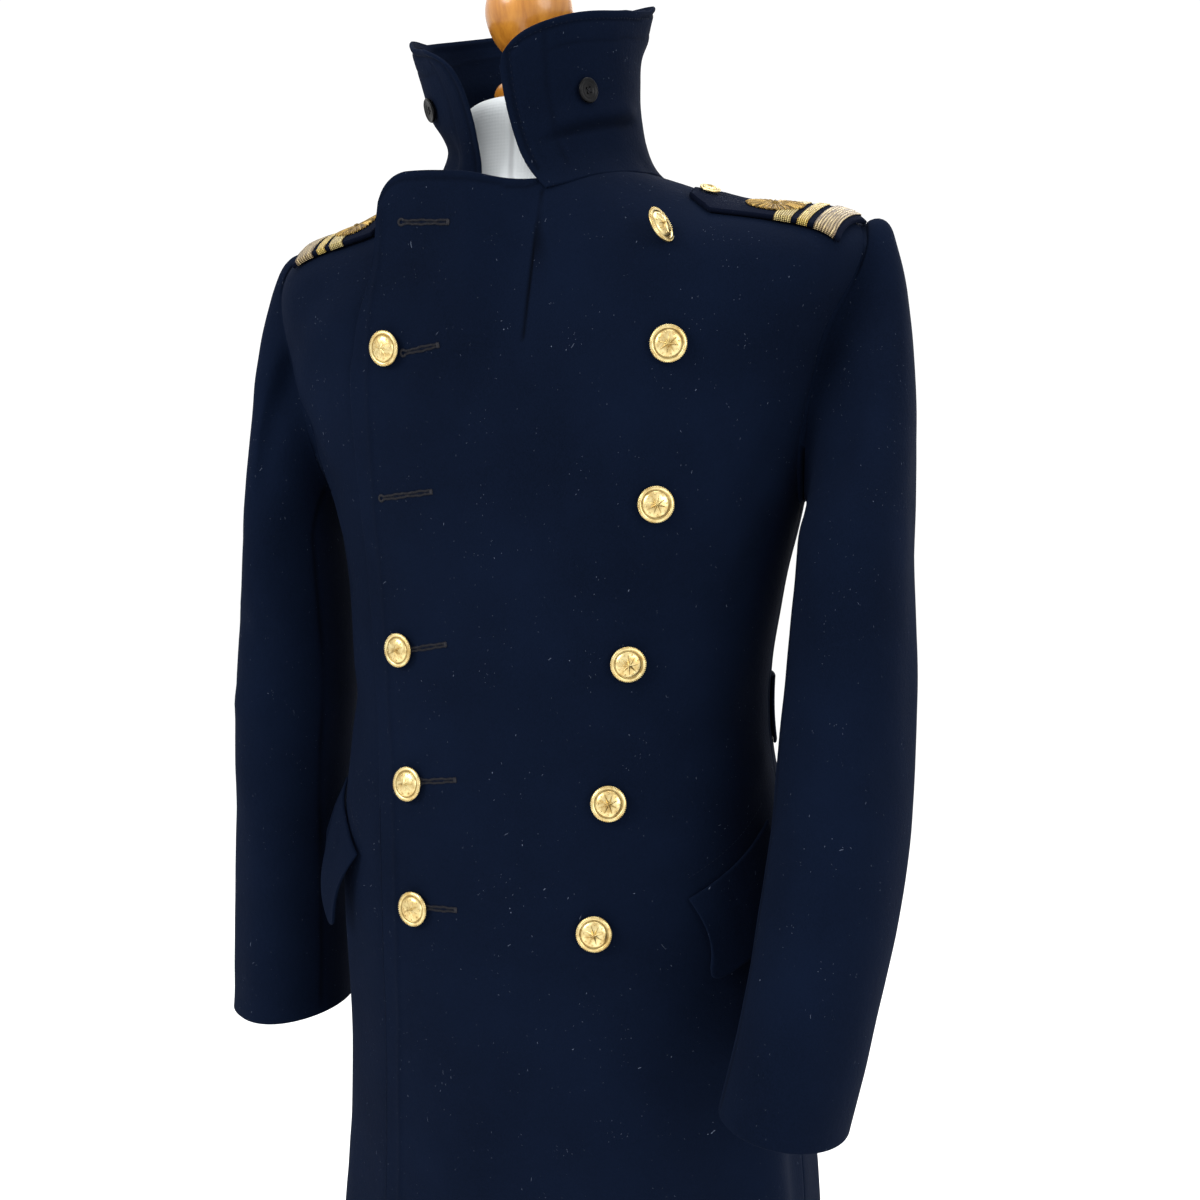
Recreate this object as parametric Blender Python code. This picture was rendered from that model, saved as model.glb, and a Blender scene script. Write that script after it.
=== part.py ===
"""Double-breasted military greatcoat standing on a limbless dress form.

Metres, +Z up. The front of the coat faces -Y and the wearer's left side is +X.
The origin is on the stand's underside, on the axis of its pole.
"""

import math

import bmesh
import bpy
from mathutils import Vector

# Cloth and sewing
CLOTH = 0.0024
SEAM_GAP = 0.0004
LAYER_STEP = 0.0036
PIECE_STEP = 0.0032
LIE_GAP = 0.0006

# Buttons; a profile's heights and radii are shares of the button's radius
BUTTON_RADIUS = 0.0127
COLLAR_BUTTON_RADIUS = 0.0085
STRAP_BUTTON_RADIUS = 0.0075
BUTTON_SEGMENTS = 16
STRAP_BUTTON_SEGMENTS = 14

# One coat button has turned over on its loose thread; the way it faces
FLOPPED_BUTTON = ("left", 1)
FLOP_AXIS = (0.88, -0.30, 0.42)
FLOP_SINK = 0.0003
# Profiles of the two kinds of button
DOMED_BUTTON = (  # height, radius
    (0.00, 0.20),
    (0.10, 0.22),
    (0.14, 0.90),
    (0.26, 1.00),
    (0.36, 0.93),
    (0.50, 0.66),
    (0.57, 0.30),
)
DISHED_BUTTON = (  # height, radius
    (0.00, 0.75),
    (0.10, 0.95),
    (0.26, 1.00),
    (0.36, 0.90),
    (0.34, 0.45),
)
COLLAR_BUTTONS = (  # name, share of the way round the collar, share of its height
    ("collar_button_left", 0.075, 0.50),
    ("collar_button_right", 0.900, 0.50),
)

# Rings of the body, from the hem up to the neck seam. shift moves the ring sideways,
# power is the superellipse's, and edge is how far the overlap reaches past the centre.
BODY_COLUMNS = (
    "z_front", "z_side", "z_back", "half", "front", "back", "power", "shift", "edge",
)
BODY_RINGS = (
    (0.350, 0.350, 0.350, 0.214, 0.170, 0.205, 2.05, 0.026, 0.090),  # hem
    (0.560, 0.560, 0.560, 0.200, 0.158, 0.190, 2.05, 0.023, 0.092),  # knee
    (0.760, 0.760, 0.760, 0.184, 0.144, 0.168, 2.10, 0.018, 0.096),  # thigh
    (0.930, 0.930, 0.930, 0.184, 0.132, 0.150, 2.20, 0.004, 0.102),  # hip
    (1.060, 1.060, 1.060, 0.169, 0.121, 0.112, 2.20, -0.004, 0.113),  # waist
    (1.150, 1.150, 1.150, 0.175, 0.120, 0.118, 2.20, -0.004, 0.121),  # ribs
    (1.225, 1.225, 1.225, 0.190, 0.120, 0.127, 2.30, -0.005, 0.128),  # armpit
    (1.305, 1.326, 1.320, 0.214, 0.117, 0.130, 2.40, -0.014, 0.133),  # middle of the armhole
    (1.373, 1.421, 1.411, 0.225, 0.109, 0.115, 3.10, -0.001, 0.128),  # shoulder tip
    (1.413, 1.442, 1.450, 0.150, 0.103, 0.085, 2.40, -0.008, 0.114),  # middle of the shoulder
    (1.443, 1.466, 1.482, 0.081, 0.098, 0.062, 2.00, -0.017, 0.107),  # neck seam
)
ARMPIT, SHOULDER_TIP, NECK = 6, 8, 10

# The wearer's right shoulder hangs a little lower than the left
RIGHT_DROP = 0.006
RIGHT_DROP_LEVELS = (6.5, 8.0, 10.0)

# How steeply the shoulder falls to the front and the back: 2 is a plain ellipse's
SHOULDER_FALL = 1.3

# Soft flutes of the skirt: their depth at the hem, the level where they end, how many
# would go all the way round, and the angles from centre front between which they grow
SKIRT_WAVE = 0.008
SKIRT_WAVE_TOP = 3.0
SKIRT_WAVES = 6
SKIRT_WAVE_ANGLES = (35.0, 80.0)

# Rows of points that every body panel shares, so that seams meet corner to corner
SKIRT_LEVELS = (0.0, 0.8, 1.6, 2.3, 2.8, 3.3, 3.8, 4.3, 5.0, 5.6)
SHOULDER_LEVELS = (8.4, 8.8, 9.2, 9.6, 10.0)
OVERLAP_COLUMNS = 8
FRONT_COLUMNS = 8
BACK_COLUMNS = 9

# Armhole, in degrees round the ring to the front and the back of the side line
ARMHOLE_FRONT = {1: 13.0, -1: 23.0}
ARMHOLE_BACK = 22.0
ARMHOLE_ROUNDNESS = 0.55
ARMHOLE_SCOOP = 0.5
ARMHOLE_STEPS = 10
SLEEVE_SEAM = 0.86
ARMHOLE_END = 0.036

# Front closure: where the collar's ends leave the neck seam, and the hidden underlap
COLLAR_END_LEFT = 0.011
COLLAR_END_RIGHT = -0.034
UNDERLAP = 0.092
UNDERLAP_TOP = 9.2
LIFT_ANGLES = (40.0, 75.0)

# The lapel stands free in front of the wearer's right shoulder
LAPEL_START = 6.8
LAPEL_BLEND = 0.9
LAPEL_TOP = 1.451
LAPEL_CORNER = 0.025
LAPEL_LEAN = 0.02
LAPEL_DIP = 0.010
LAPEL_DIP_FROM = -0.060
LAPEL_FREE = 0.050

# Height of each row of gilt buttons, and how far its two buttons stand from the centre
BUTTON_COLUMNS = ("z", "left", "right")
BUTTON_ROWS = (
    (1.403, 0.0955, 0.0),
    (1.330, 0.106, 0.099),
    (1.222, 0.099, 0.0),
    (1.111, 0.082, 0.088),
    (1.013, 0.073, 0.077),
    (0.923, 0.068, 0.068),
)

# Sleeves, from below the armpit to the cuff: the centre line and the half sizes of the tube
SLEEVE_COLUMNS = ("z", "x", "y", "half_across", "half_along")
SLEEVE_LEFT = (
    (1.190, 0.230, -0.036, 0.040, 0.072),
    (1.090, 0.230, -0.050, 0.044, 0.071),
    (0.990, 0.229, -0.084, 0.045, 0.069),
    (0.895, 0.220, -0.128, 0.042, 0.066),
    (0.826, 0.208, -0.155, 0.041, 0.063),
)
SLEEVE_RIGHT = (
    (1.190, -0.229, -0.018, 0.030, 0.071),
    (1.090, -0.234, -0.012, 0.041, 0.070),
    (0.990, -0.242, -0.006, 0.042, 0.068),
    (0.888, -0.246, 0.000, 0.043, 0.066),
    (0.778, -0.246, -0.004, 0.045, 0.064),
)
SLEEVE_HEAD_RINGS = 7
SLEEVE_TUBE_RINGS = 8
HEAD_OUT = {1: 0.42, -1: 0.36}
HEAD_DOWN = 0.38
HEAD_LIFT = 0.85
CUFF_LEVEL = 0.5
CUFF_LEVEL_FROM = 0.6
UNDERARM_CLEAR = 0.0034

# Collar, turned up: its height and flare round the neck, from the left end to the right end
COLLAR_SIZES = ("height", "flare", "pinch")
COLLAR_ROUND = (
    (0.097, 0.006, 0.002),  # left end
    (0.109, -0.003, 0.008),
    (0.127, 0.003, 0.014),
    (0.125, 0.010, 0.010),  # centre back
    (0.118, 0.017, 0.003),
    (0.103, 0.024, 0.000),
    (0.086, 0.028, 0.000),  # right end
)
COLLAR_LEAN = 0.12
COLLAR_POINT_LEFT = 0.026
COLLAR_POINT_RIGHT = -0.028
COLLAR_END_SHARE = 0.13
COLLAR_LENGTH = 0.42
COLLAR_CORNER = 0.022
COLLAR_CORNER_DROP = 0.16
COLLAR_COLUMNS = 26
COLLAR_ROWS = 5

# Pocket flaps: the panel columns and the heights of the slanted seam's two ends
FLAP_FRONT = (3.5, 0.947)
FLAP_REAR = (6.5, 0.990)
FLAP_DROP = 0.062
FLAP_SKEW = 0.35
FLAP_ROWS = 3
FLAP_STAND_OFF = {"left": 0.006, "right": 0.016}

# Half belt across the back waist, between two rows of the back
BELT_LEVELS = (3.8, 4.05, 4.3)
BELT_END_COLUMN = 0.3

# Shoulder straps, seen from above: x from the middle plane, y, half the width and how far
# the row slants. Keyed like the sides: 1 is the wearer's left and -1 the right.
STRAP_BUTTON_PLACES = {1: (0.117, -0.047), -1: (0.109, -0.052)}
STRAP_LINES = {  # x, y, half width, slant: of the outer end, where the point begins, the tip
    1: (
        (0.213, -0.038, 0.0245, 0.003),
        (0.125, -0.053, 0.0235, 0.000),
        (0.106, -0.054, 0.0070, 0.000),
    ),
    -1: (
        (0.200, -0.044, 0.0245, 0.001),
        (0.116, -0.055, 0.0235, 0.000),
        (0.098, -0.056, 0.0070, 0.000),
    ),
}
STRAP_THICKNESS = 0.0036
STRAP_LIE = 0.0016
STRAP_ROWS = 8
STRAP_COLUMNS = 6
STRAP_POINT_ROW = 6

# Dress form: torso a little inside the coat, neck and turned finial
TORSO_BOTTOM = 0.860
TORSO_LEVELS = (2.6, 3.2, 3.8, 4.4, 5.2, 6.0, 6.6, 7.2, 7.7, 8.0, 8.4, 8.8, 9.2, 9.6)
TORSO_SEGMENTS = 28
TORSO_SLACK = (
    (2.6, 0.030),
    (4.0, 0.014),
    (6.0, 0.014),
    (7.2, 0.010),
    (8.0, 0.0028),
    (9.2, 0.0028),
    (9.7, 0.0060),
)
NECK_CENTRE = (-0.024, -0.034)
NECK_RINGS = (  # front height, back height, radius
    (1.452, 1.486, 0.053),
    (1.478, 1.498, 0.050),
    (1.500, 1.506, 0.050),
    (1.511, 1.512, 0.042),
    (1.515, 1.515, 0.026),
)
FINIAL_PROFILE = (  # height above the neck's cap, radius
    (0.0004, 0.020),
    (0.0030, 0.0245),
    (0.0080, 0.0260),
    (0.0130, 0.0240),
    (0.0180, 0.0180),
    (0.0260, 0.0150),
    (0.0360, 0.0165),
    (0.0440, 0.0235),
    (0.0540, 0.0300),
    (0.0660, 0.0335),
    (0.0780, 0.0320),
    (0.0890, 0.0260),
    (0.0970, 0.0160),
    (0.1000, 0.0050),
)
FINIAL_SEGMENTS = 20
POLE_RADIUS = 0.0125
STAND_SEGMENTS = 28
STAND_PROFILE = (  # height, radius
    (0.000, 0.186),
    (0.003, 0.190),
    (0.015, 0.190),
    (0.020, 0.182),
    (0.026, 0.060),
    (0.032, 0.045),
    (0.046, 0.026),
    (0.070, POLE_RADIUS),
)

# Each finish's colour, as linear red, green and blue, its roughness and its metallic value
FINISHES = {
    "navy_melton": ((0.010, 0.015, 0.030), 0.9, 0.0),
    "gilt_brass": ((0.72, 0.55, 0.27), 0.3, 1.0),
    "dark_horn": ((0.020, 0.020, 0.025), 0.35, 0.0),
    "white_canvas": ((0.80, 0.78, 0.73), 0.9, 0.0),
    "honey_varnish": ((0.62, 0.36, 0.13), 0.3, 0.0),
}


def clear_scene():
    for item in list(bpy.data.objects):
        bpy.data.objects.remove(item)


def material(name):
    colour, roughness, metallic = FINISHES[name]
    made = bpy.data.materials.new(name)
    made.use_nodes = True
    shader = made.node_tree.nodes["Principled BSDF"]
    shader.inputs["Base Color"].default_value = (*colour, 1.0)
    shader.inputs["Roughness"].default_value = roughness
    shader.inputs["Metallic"].default_value = metallic
    return made


def smooth_between(values, at):
    """Catmull-Rom through equally spaced values."""
    last = len(values) - 1
    k = max(0, min(int(at), last - 1))
    t = at - k
    p1, p2 = values[k], values[k + 1]
    p0 = values[k - 1] if k > 0 else 2 * p1 - p2
    p3 = values[k + 2] if k + 2 <= last else 2 * p2 - p1
    m1, m2 = (p2 - p0) / 2, (p3 - p1) / 2
    return (
        (2 * t**3 - 3 * t**2 + 1) * p1
        + (t**3 - 2 * t**2 + t) * m1
        + (3 * t**2 - 2 * t**3) * p2
        + (t**3 - t**2) * m2
    )


def ease(low, high, value):
    t = min(1.0, max(0.0, (value - low) / (high - low)))
    return t * t * (3 - 2 * t)


def signed_power(value, power):
    return math.copysign(abs(value) ** power, value)


def table_at(names, rows, at):
    """The named sizes of a table at a place between its rows."""
    return {name: smooth_between(column, at) for name, column in zip(names, zip(*rows))}


# The body's surface


def ring(v):
    return table_at(BODY_COLUMNS, BODY_RINGS, v)


def skirt_wave(degrees, v):
    """Soft flutes that grow from the hip to the hem, at the sides and back."""
    depth = SKIRT_WAVE * (1 - ease(0.0, SKIRT_WAVE_TOP, v)) * ease(*SKIRT_WAVE_ANGLES, abs(degrees))
    return depth * math.cos(math.radians(SKIRT_WAVES * degrees))


def on_body(degrees, v):
    """A point of the coat's surface: 0 is centre front, 90 the wearer's left, 180 the back."""
    r = ring(v)
    a = math.radians(degrees)
    power = 2.0 / r["power"]
    across = signed_power(math.sin(a), power)
    along = signed_power(math.cos(a), power)
    out = 1 + skirt_wave((degrees + 180) % 360 - 180, v) / r["half"]
    end = "front" if along > 0 else "back"
    fall = 2 + (SHOULDER_FALL - 2) * ease(7.0, 8.0, v) * (1 - ease(9.0, 10.0, v))
    z = r["z_side"] + (r["z_" + end] - r["z_side"]) * abs(along) ** fall
    if across < 0:
        low, full, top = RIGHT_DROP_LEVELS
        z -= RIGHT_DROP * ease(low, full, v) * (1 - ease(full, top, v)) * ease(0.0, 1.0, -across)
    return Vector((r["shift"] + r["half"] * across * out, -r[end] * along * out, z))


def body_normal(degrees, v):
    round_it = on_body(degrees + 0.05, v) - on_body(degrees - 0.05, v)
    up_it = on_body(degrees, v + 0.01) - on_body(degrees, v - 0.01)
    return round_it.cross(up_it).normalized()


def angle_at(x, v):
    """The angle round the front where the body is x from the middle plane."""
    r = ring(v)
    share = max(-0.999, min(0.999, (x - r["shift"]) / r["half"]))
    return math.degrees(math.asin(signed_power(share, r["power"] / 2.0)))


def level_of(height, x=0.0):
    """The level whose front surface, x from the middle plane, has this height."""
    low, high = 0.0, float(NECK)
    for _ in range(40):
        middle = (low + high) / 2
        if on_body(angle_at(x, middle), middle).z < height:
            low = middle
        else:
            high = middle
    return low


def armhole_cut(v):
    """0 at the armpit and the shoulder tip, and about 1 between, more towards the armpit."""
    if not ARMPIT < v < SHOULDER_TIP:
        return 0.0
    share = (v - ARMPIT) / (SHOULDER_TIP - ARMPIT)
    return math.sin(math.pi * share) ** ARMHOLE_ROUNDNESS * (1 + ARMHOLE_SCOOP * (1 - 2 * share))


def armhole_levels():
    span = SHOULDER_TIP - ARMPIT
    steps = range(ARMHOLE_STEPS + 1)
    return [ARMPIT + span * (1 - math.cos(math.pi * k / ARMHOLE_STEPS)) / 2 for k in steps]


def body_levels():
    return list(SKIRT_LEVELS) + armhole_levels() + list(SHOULDER_LEVELS)


def seam_angle(v):
    """Half the seam gap, as an angle round the body."""
    return math.degrees(SEAM_GAP / 2 / ring(v)["half"])


def front_side(side, v):
    return 90.0 - ARMHOLE_FRONT[side] * armhole_cut(v) - seam_angle(v)


def back_side(v):
    return 90.0 + ARMHOLE_BACK * armhole_cut(v) + seam_angle(v)


# Walls of cloth


def add_object(name, bm, finish, sharp=40):
    mesh = bpy.data.meshes.new(name)
    bm.to_mesh(mesh)
    bm.free()
    mesh.materials.append(finish)
    mesh.shade_smooth()
    mesh.set_sharp_from_angle(angle=math.radians(sharp))
    item = bpy.data.objects.new(name, mesh)
    bpy.context.scene.collection.objects.link(item)
    return item


def wall(name, rows, finish, thickness=CLOTH, tube=False):
    """A closed wall through rows of (point, outward direction); a tube's columns go all round."""
    bm = bmesh.new()
    half = thickness / 2
    outer = [[bm.verts.new(p + n * half) for p, n in row] for row in rows]
    inner = [[bm.verts.new(p - n * half) for p, n in row] for row in rows]
    count = len(rows[0])
    columns = range(count if tube else count - 1)
    for k in range(len(rows) - 1):
        for c in columns:
            d = (c + 1) % count
            bm.faces.new((outer[k][c], outer[k][d], outer[k + 1][d], outer[k + 1][c]))
            bm.faces.new((inner[k][d], inner[k][c], inner[k + 1][c], inner[k + 1][d]))
    for c in columns:
        d = (c + 1) % count
        bm.faces.new((outer[0][d], outer[0][c], inner[0][c], inner[0][d]))
        bm.faces.new((outer[-1][c], outer[-1][d], inner[-1][d], inner[-1][c]))
    if not tube:
        for k in range(len(rows) - 1):
            bm.faces.new((outer[k][0], outer[k + 1][0], inner[k + 1][0], inner[k][0]))
            bm.faces.new((outer[k + 1][-1], outer[k][-1], inner[k][-1], inner[k + 1][-1]))
    bmesh.ops.recalc_face_normals(bm, faces=bm.faces)
    return add_object(name, bm, finish)


def lathe(name, profile, finish, segments, axis=Vector((0, 0, 1)), place=Vector((0, 0, 0))):
    """A closed turned solid: profile is (height along the axis, radius) from bottom to top."""
    turn = Vector((0, 0, 1)).rotation_difference(axis)
    bm = bmesh.new()
    rings = []
    for height, radius in profile:
        row = []
        for k in range(segments):
            a = 2 * math.pi * k / segments
            flat = Vector((radius * math.cos(a), radius * math.sin(a), height))
            row.append(bm.verts.new(place + turn @ flat))
        rings.append(row)
    for low, high in zip(rings, rings[1:]):
        for k in range(segments):
            d = (k + 1) % segments
            bm.faces.new((low[k], low[d], high[d], high[k]))
    bm.faces.new(list(reversed(rings[0])))
    bm.faces.new(rings[-1])
    return add_object(name, bm, finish)


# Fronts


def front_lift(degrees):
    """The outer front lies one layer out over the other, and comes down to its side seam."""
    return LAYER_STEP * (1 - ease(*LIFT_ANGLES, degrees))


def left_at_angle(degrees, v):
    direction = body_normal(degrees, v)
    return on_body(degrees, v) + direction * front_lift(degrees), direction


def lapel_at(x, v):
    """The free lapel, which rises straight from the chest instead of turning back to the neck."""
    start, direction = left_at_angle(angle_at(x, LAPEL_START), LAPEL_START)
    from_edge = max(0.0, x + ring(v)["edge"])
    inside = max(0.0, LAPEL_CORNER - from_edge)
    fall = LAPEL_CORNER - math.sqrt(LAPEL_CORNER**2 - inside**2)
    top = LAPEL_TOP - fall - LAPEL_DIP * ease(LAPEL_DIP_FROM, 0.0, x)
    rise = (v - LAPEL_START) / (NECK - LAPEL_START)
    z = start.z + (top - start.z) * rise
    upright = Vector((direction.x, direction.y, 0.0)).normalized()
    y = start.y - LAPEL_LEAN * (z - start.z)
    return Vector((x, y, z)), direction.lerp(upright, ease(0.0, 0.3, rise)).normalized()


def left_at(x, v):
    """The outer front, x from the middle plane."""
    point, direction = left_at_angle(angle_at(x, v), v)
    across = ease(COLLAR_END_LEFT, COLLAR_END_LEFT - LAPEL_FREE, x)
    free = across * ease(LAPEL_START, LAPEL_START + LAPEL_BLEND, v)
    if free > 0:
        free_point, free_direction = lapel_at(x, v)
        point = point.lerp(free_point, free)
        direction = direction.lerp(free_direction, free).normalized()
    return point, direction


def front_left_rows():
    rows = []
    for v in body_levels():
        edge = -ring(v)["edge"]
        row = []
        for k in range(OVERLAP_COLUMNS):
            row.append(left_at(edge + (COLLAR_END_LEFT - edge) * k / OVERLAP_COLUMNS, v))
        start, side = angle_at(COLLAR_END_LEFT, v), front_side(1, v)
        for k in range(FRONT_COLUMNS + 1):
            row.append(left_at_angle(start + (side - start) * k / FRONT_COLUMNS, v))
        rows.append(row)
    return rows


def right_at_angle(degrees, v):
    return on_body(degrees, v), body_normal(degrees, v)


def underlap_level(x, v):
    """Past the collar's end the hidden top edge drops below the overlap's."""
    if v <= SHOULDER_TIP:
        return v
    top = NECK + (UNDERLAP_TOP - NECK) * ease(COLLAR_END_RIGHT, COLLAR_END_LEFT, x)
    return SHOULDER_TIP + (v - SHOULDER_TIP) * (top - SHOULDER_TIP) / (NECK - SHOULDER_TIP)


def front_right_rows():
    rows = []
    for v in body_levels():
        side, start = -front_side(-1, v), angle_at(COLLAR_END_RIGHT, v)
        row = []
        for k in range(FRONT_COLUMNS):
            row.append(right_at_angle(side + (start - side) * k / FRONT_COLUMNS, v))
        for k in range(OVERLAP_COLUMNS - 1):
            x = COLLAR_END_RIGHT + (UNDERLAP - COLLAR_END_RIGHT) * k / (OVERLAP_COLUMNS - 2)
            lower = underlap_level(x, v)
            row.append(right_at_angle(angle_at(x, lower), lower))
        rows.append(row)
    return rows


def back_rows(side):
    rows = []
    for v in body_levels():
        start, end = back_side(v), 180.0 - seam_angle(v)
        row = []
        for k in range(BACK_COLUMNS + 1):
            degrees = side * (start + (end - start) * k / BACK_COLUMNS)
            row.append((on_body(degrees, v), body_normal(degrees, v)))
        rows.append(row)
    return rows


# Places on the panels' own facets


def between(rows, row, column):
    """The point and direction of a panel at fractional places in its grid."""
    r = max(0, min(int(row), len(rows) - 2))
    c = max(0, min(int(column), len(rows[0]) - 2))
    up, right = row - r, column - c
    mixed = []
    for part in (0, 1):
        low = rows[r][c][part].lerp(rows[r][c + 1][part], right)
        high = rows[r + 1][c][part].lerp(rows[r + 1][c + 1][part], right)
        mixed.append(low.lerp(high, up))
    return mixed[0], mixed[1].normalized()


def row_of(v):
    levels = body_levels()
    for k in range(len(levels) - 1):
        if v <= levels[k + 1]:
            return k + (v - levels[k]) / (levels[k + 1] - levels[k])
    return float(len(levels) - 1)


def row_at_height(rows, column, height):
    low, high = 0.0, float(len(rows) - 1)
    for _ in range(30):
        middle = (low + high) / 2
        if between(rows, middle, column)[0].z < height:
            low = middle
        else:
            high = middle
    return low


# Sleeves


def armhole_loop(side):
    """The armhole's edge as (point, direction) from the shoulder tip, down the front and up the back."""
    levels = armhole_levels()
    levels[0] += 2 * ARMHOLE_END
    levels[-1] -= ARMHOLE_END
    loop = []
    for v in reversed(levels):
        degrees = side * (front_side(side, v) + 2 * seam_angle(v) + SLEEVE_SEAM)
        if v in (levels[0], levels[-1]):
            degrees = side * 90.0
        loop.append((on_body(degrees, v), body_normal(degrees, v)))
    for v in levels[1:-1]:
        degrees = side * (back_side(v) - 2 * seam_angle(v) - SLEEVE_SEAM)
        loop.append((on_body(degrees, v), body_normal(degrees, v)))
    return loop


def sleeve_tube(side, rows, share, turn):
    """A point of the sleeve below the armpit; share runs down it and turn goes round from the outside."""
    at = share * (len(rows) - 1)
    here = table_at(SLEEVE_COLUMNS, rows, at)
    after = table_at(SLEEVE_COLUMNS, rows, at + 0.05)
    centre = Vector((here["x"], here["y"], here["z"]))
    along_arm = (Vector((after["x"], after["y"], after["z"])) - centre).normalized()
    level = CUFF_LEVEL * ease(CUFF_LEVEL_FROM, 1.0, share)
    along_arm = along_arm.lerp(Vector((0, 0, -1)), level).normalized()
    across = Vector((side, 0, 0))
    across = (across - along_arm * across.dot(along_arm)).normalized()
    forward = along_arm.cross(across) * side
    forward = forward if forward.y < 0 else -forward
    a = math.radians(turn)
    point = centre + across * here["half_across"] * math.cos(a)
    return point + forward * here["half_along"] * math.sin(a), along_arm


def sleeve_point(side, rows, loop, column, w):
    """w runs from 0 at the armhole to 1 below the armpit and on to 2 at the cuff."""
    turn = 360.0 * column / len(loop)
    if w >= 1:
        return sleeve_tube(side, rows, w - 1, turn)[0]
    start = loop[column % len(loop)][0]
    end, down = sleeve_tube(side, rows, 0.0, turn)
    reach = (end - start).length
    top = max(0.0, math.cos(math.radians(turn)))
    under = ease(0.1, 0.8, -math.cos(math.radians(turn)))
    start = start + Vector((side * UNDERARM_CLEAR * under, 0, 0))
    leave = Vector((side * HEAD_OUT[side], 0, HEAD_LIFT * top**2 - HEAD_DOWN)) * reach
    arrive = down * reach
    return (
        start * (2 * w**3 - 3 * w**2 + 1)
        + leave * (w**3 - 2 * w**2 + w)
        + end * (3 * w**2 - 2 * w**3)
        + arrive * (w**3 - w**2)
    )


def sleeve_levels():
    head = [k / SLEEVE_HEAD_RINGS for k in range(SLEEVE_HEAD_RINGS)]
    return head + [1 + k / SLEEVE_TUBE_RINGS for k in range(SLEEVE_TUBE_RINGS + 1)]


def sleeve(name, side, rows, cloth):
    loop = armhole_loop(side)
    count = len(loop)
    levels = sleeve_levels()
    points = [[sleeve_point(side, rows, loop, c, w) for c in range(count)] for w in levels]
    wall_rows = []
    for k, row in enumerate(points):
        above, below = points[max(0, k - 1)], points[min(len(points) - 1, k + 1)]
        wall_row = []
        for c, point in enumerate(row):
            round_it = row[(c + 1) % count] - row[c - 1]
            direction = (below[c] - above[c]).cross(round_it).normalized()
            if direction.dot(point - sum(row, Vector()) / count) < 0:
                direction = -direction
            if k == 0:
                flush = ease(-0.2, 0.4, direction.dot(loop[c][1]))
                direction = direction.lerp(loop[c][1], flush).normalized()
            wall_row.append((point, direction))
        wall_rows.append(wall_row)
    return wall(name, wall_rows, cloth, tube=True)


# Collar


def collar_point(share, rise):
    """share goes round from the left end to the right end, rise from the neck seam to the top edge."""
    left, right = angle_at(COLLAR_END_LEFT, NECK), angle_at(COLLAR_END_RIGHT, NECK) + 360
    sizes = table_at(COLLAR_SIZES, COLLAR_ROUND, share * (len(COLLAR_ROUND) - 1))
    degrees = left + (right - left) * share
    seam = on_body(degrees, NECK)
    normal = body_normal(degrees, NECK)
    if degrees < 90:
        seam = seam + normal * front_lift(degrees)
    seam.z += CLOTH / 2 * max(0.0, normal.z) + LIE_GAP
    from_end = min(share, 1 - share)
    ends = 1 - ease(0.0, COLLAR_END_SHARE, from_end)
    before = on_body(degrees - 1, NECK) - on_body(degrees + 1, NECK)
    along = before.normalized() * (1 if share < 0.5 else -1)
    height = sizes["height"] * rise
    flat = Vector((normal.x, normal.y, 0)).normalized()
    point = seam + Vector((0, -COLLAR_LEAN * height, height))
    point += flat * (sizes["flare"] * rise**1.5 - sizes["pinch"] * math.sin(math.pi * rise))
    reach = COLLAR_POINT_LEFT if share < 0.5 else COLLAR_POINT_RIGHT
    return point + Vector((along.x, along.y, 0)) * reach * rise * ends


def collar(cloth):
    count = COLLAR_COLUMNS
    shares = [k / count for k in range(count + 1)]
    points = []
    for j in range(COLLAR_ROWS + 1):
        row = []
        for share in shares:
            from_end = min(share, 1 - share) * COLLAR_LENGTH
            inside = max(0.0, COLLAR_CORNER - from_end) / COLLAR_CORNER
            top = 1 - COLLAR_CORNER_DROP * (1 - math.sqrt(1 - inside**2))
            row.append(collar_point(share, top * j / COLLAR_ROWS))
        points.append(row)
    rows = []
    for j, row in enumerate(points):
        low, high = points[max(0, j - 1)], points[min(COLLAR_ROWS, j + 1)]
        wall_row = []
        for c, point in enumerate(row):
            round_it = row[min(count, c + 1)] - row[max(0, c - 1)]
            direction = round_it.cross(high[c] - low[c])
            if j == 0:
                direction.z = 0
            wall_row.append((point, direction.normalized()))
        rows.append(wall_row)
    return wall("collar", rows, cloth)


# Pieces that lie on a panel


def panel_column(side_name, from_side):
    """The front's column that is so many columns forward of its side seam."""
    return OVERLAP_COLUMNS + FRONT_COLUMNS - from_side if side_name == "left" else from_side


def pocket_flap(side_name, rows, cloth):
    """The flap hangs from a slanted seam; its columns run on the panel's own."""
    flap_rows = []
    steps = int(round(2 * (FLAP_REAR[0] - FLAP_FRONT[0])))
    for j in range(FLAP_ROWS + 1):
        drop = 1 - j / FLAP_ROWS
        row = []
        for k in range(steps + 1):
            share = k / steps
            forward = FRONT_COLUMNS - FLAP_FRONT[0] - (FLAP_REAR[0] - FLAP_FRONT[0]) * share
            column = panel_column(side_name, forward - FLAP_SKEW * drop)
            height = FLAP_FRONT[1] + (FLAP_REAR[1] - FLAP_FRONT[1]) * share - FLAP_DROP * drop
            point, normal = between(rows, row_at_height(rows, column, height), column)
            out = PIECE_STEP + FLAP_STAND_OFF[side_name] * drop
            row.append((point + normal * out, normal))
        flap_rows.append(row)
    return wall(f"pocket_flap_{side_name}", flap_rows, cloth)


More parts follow.
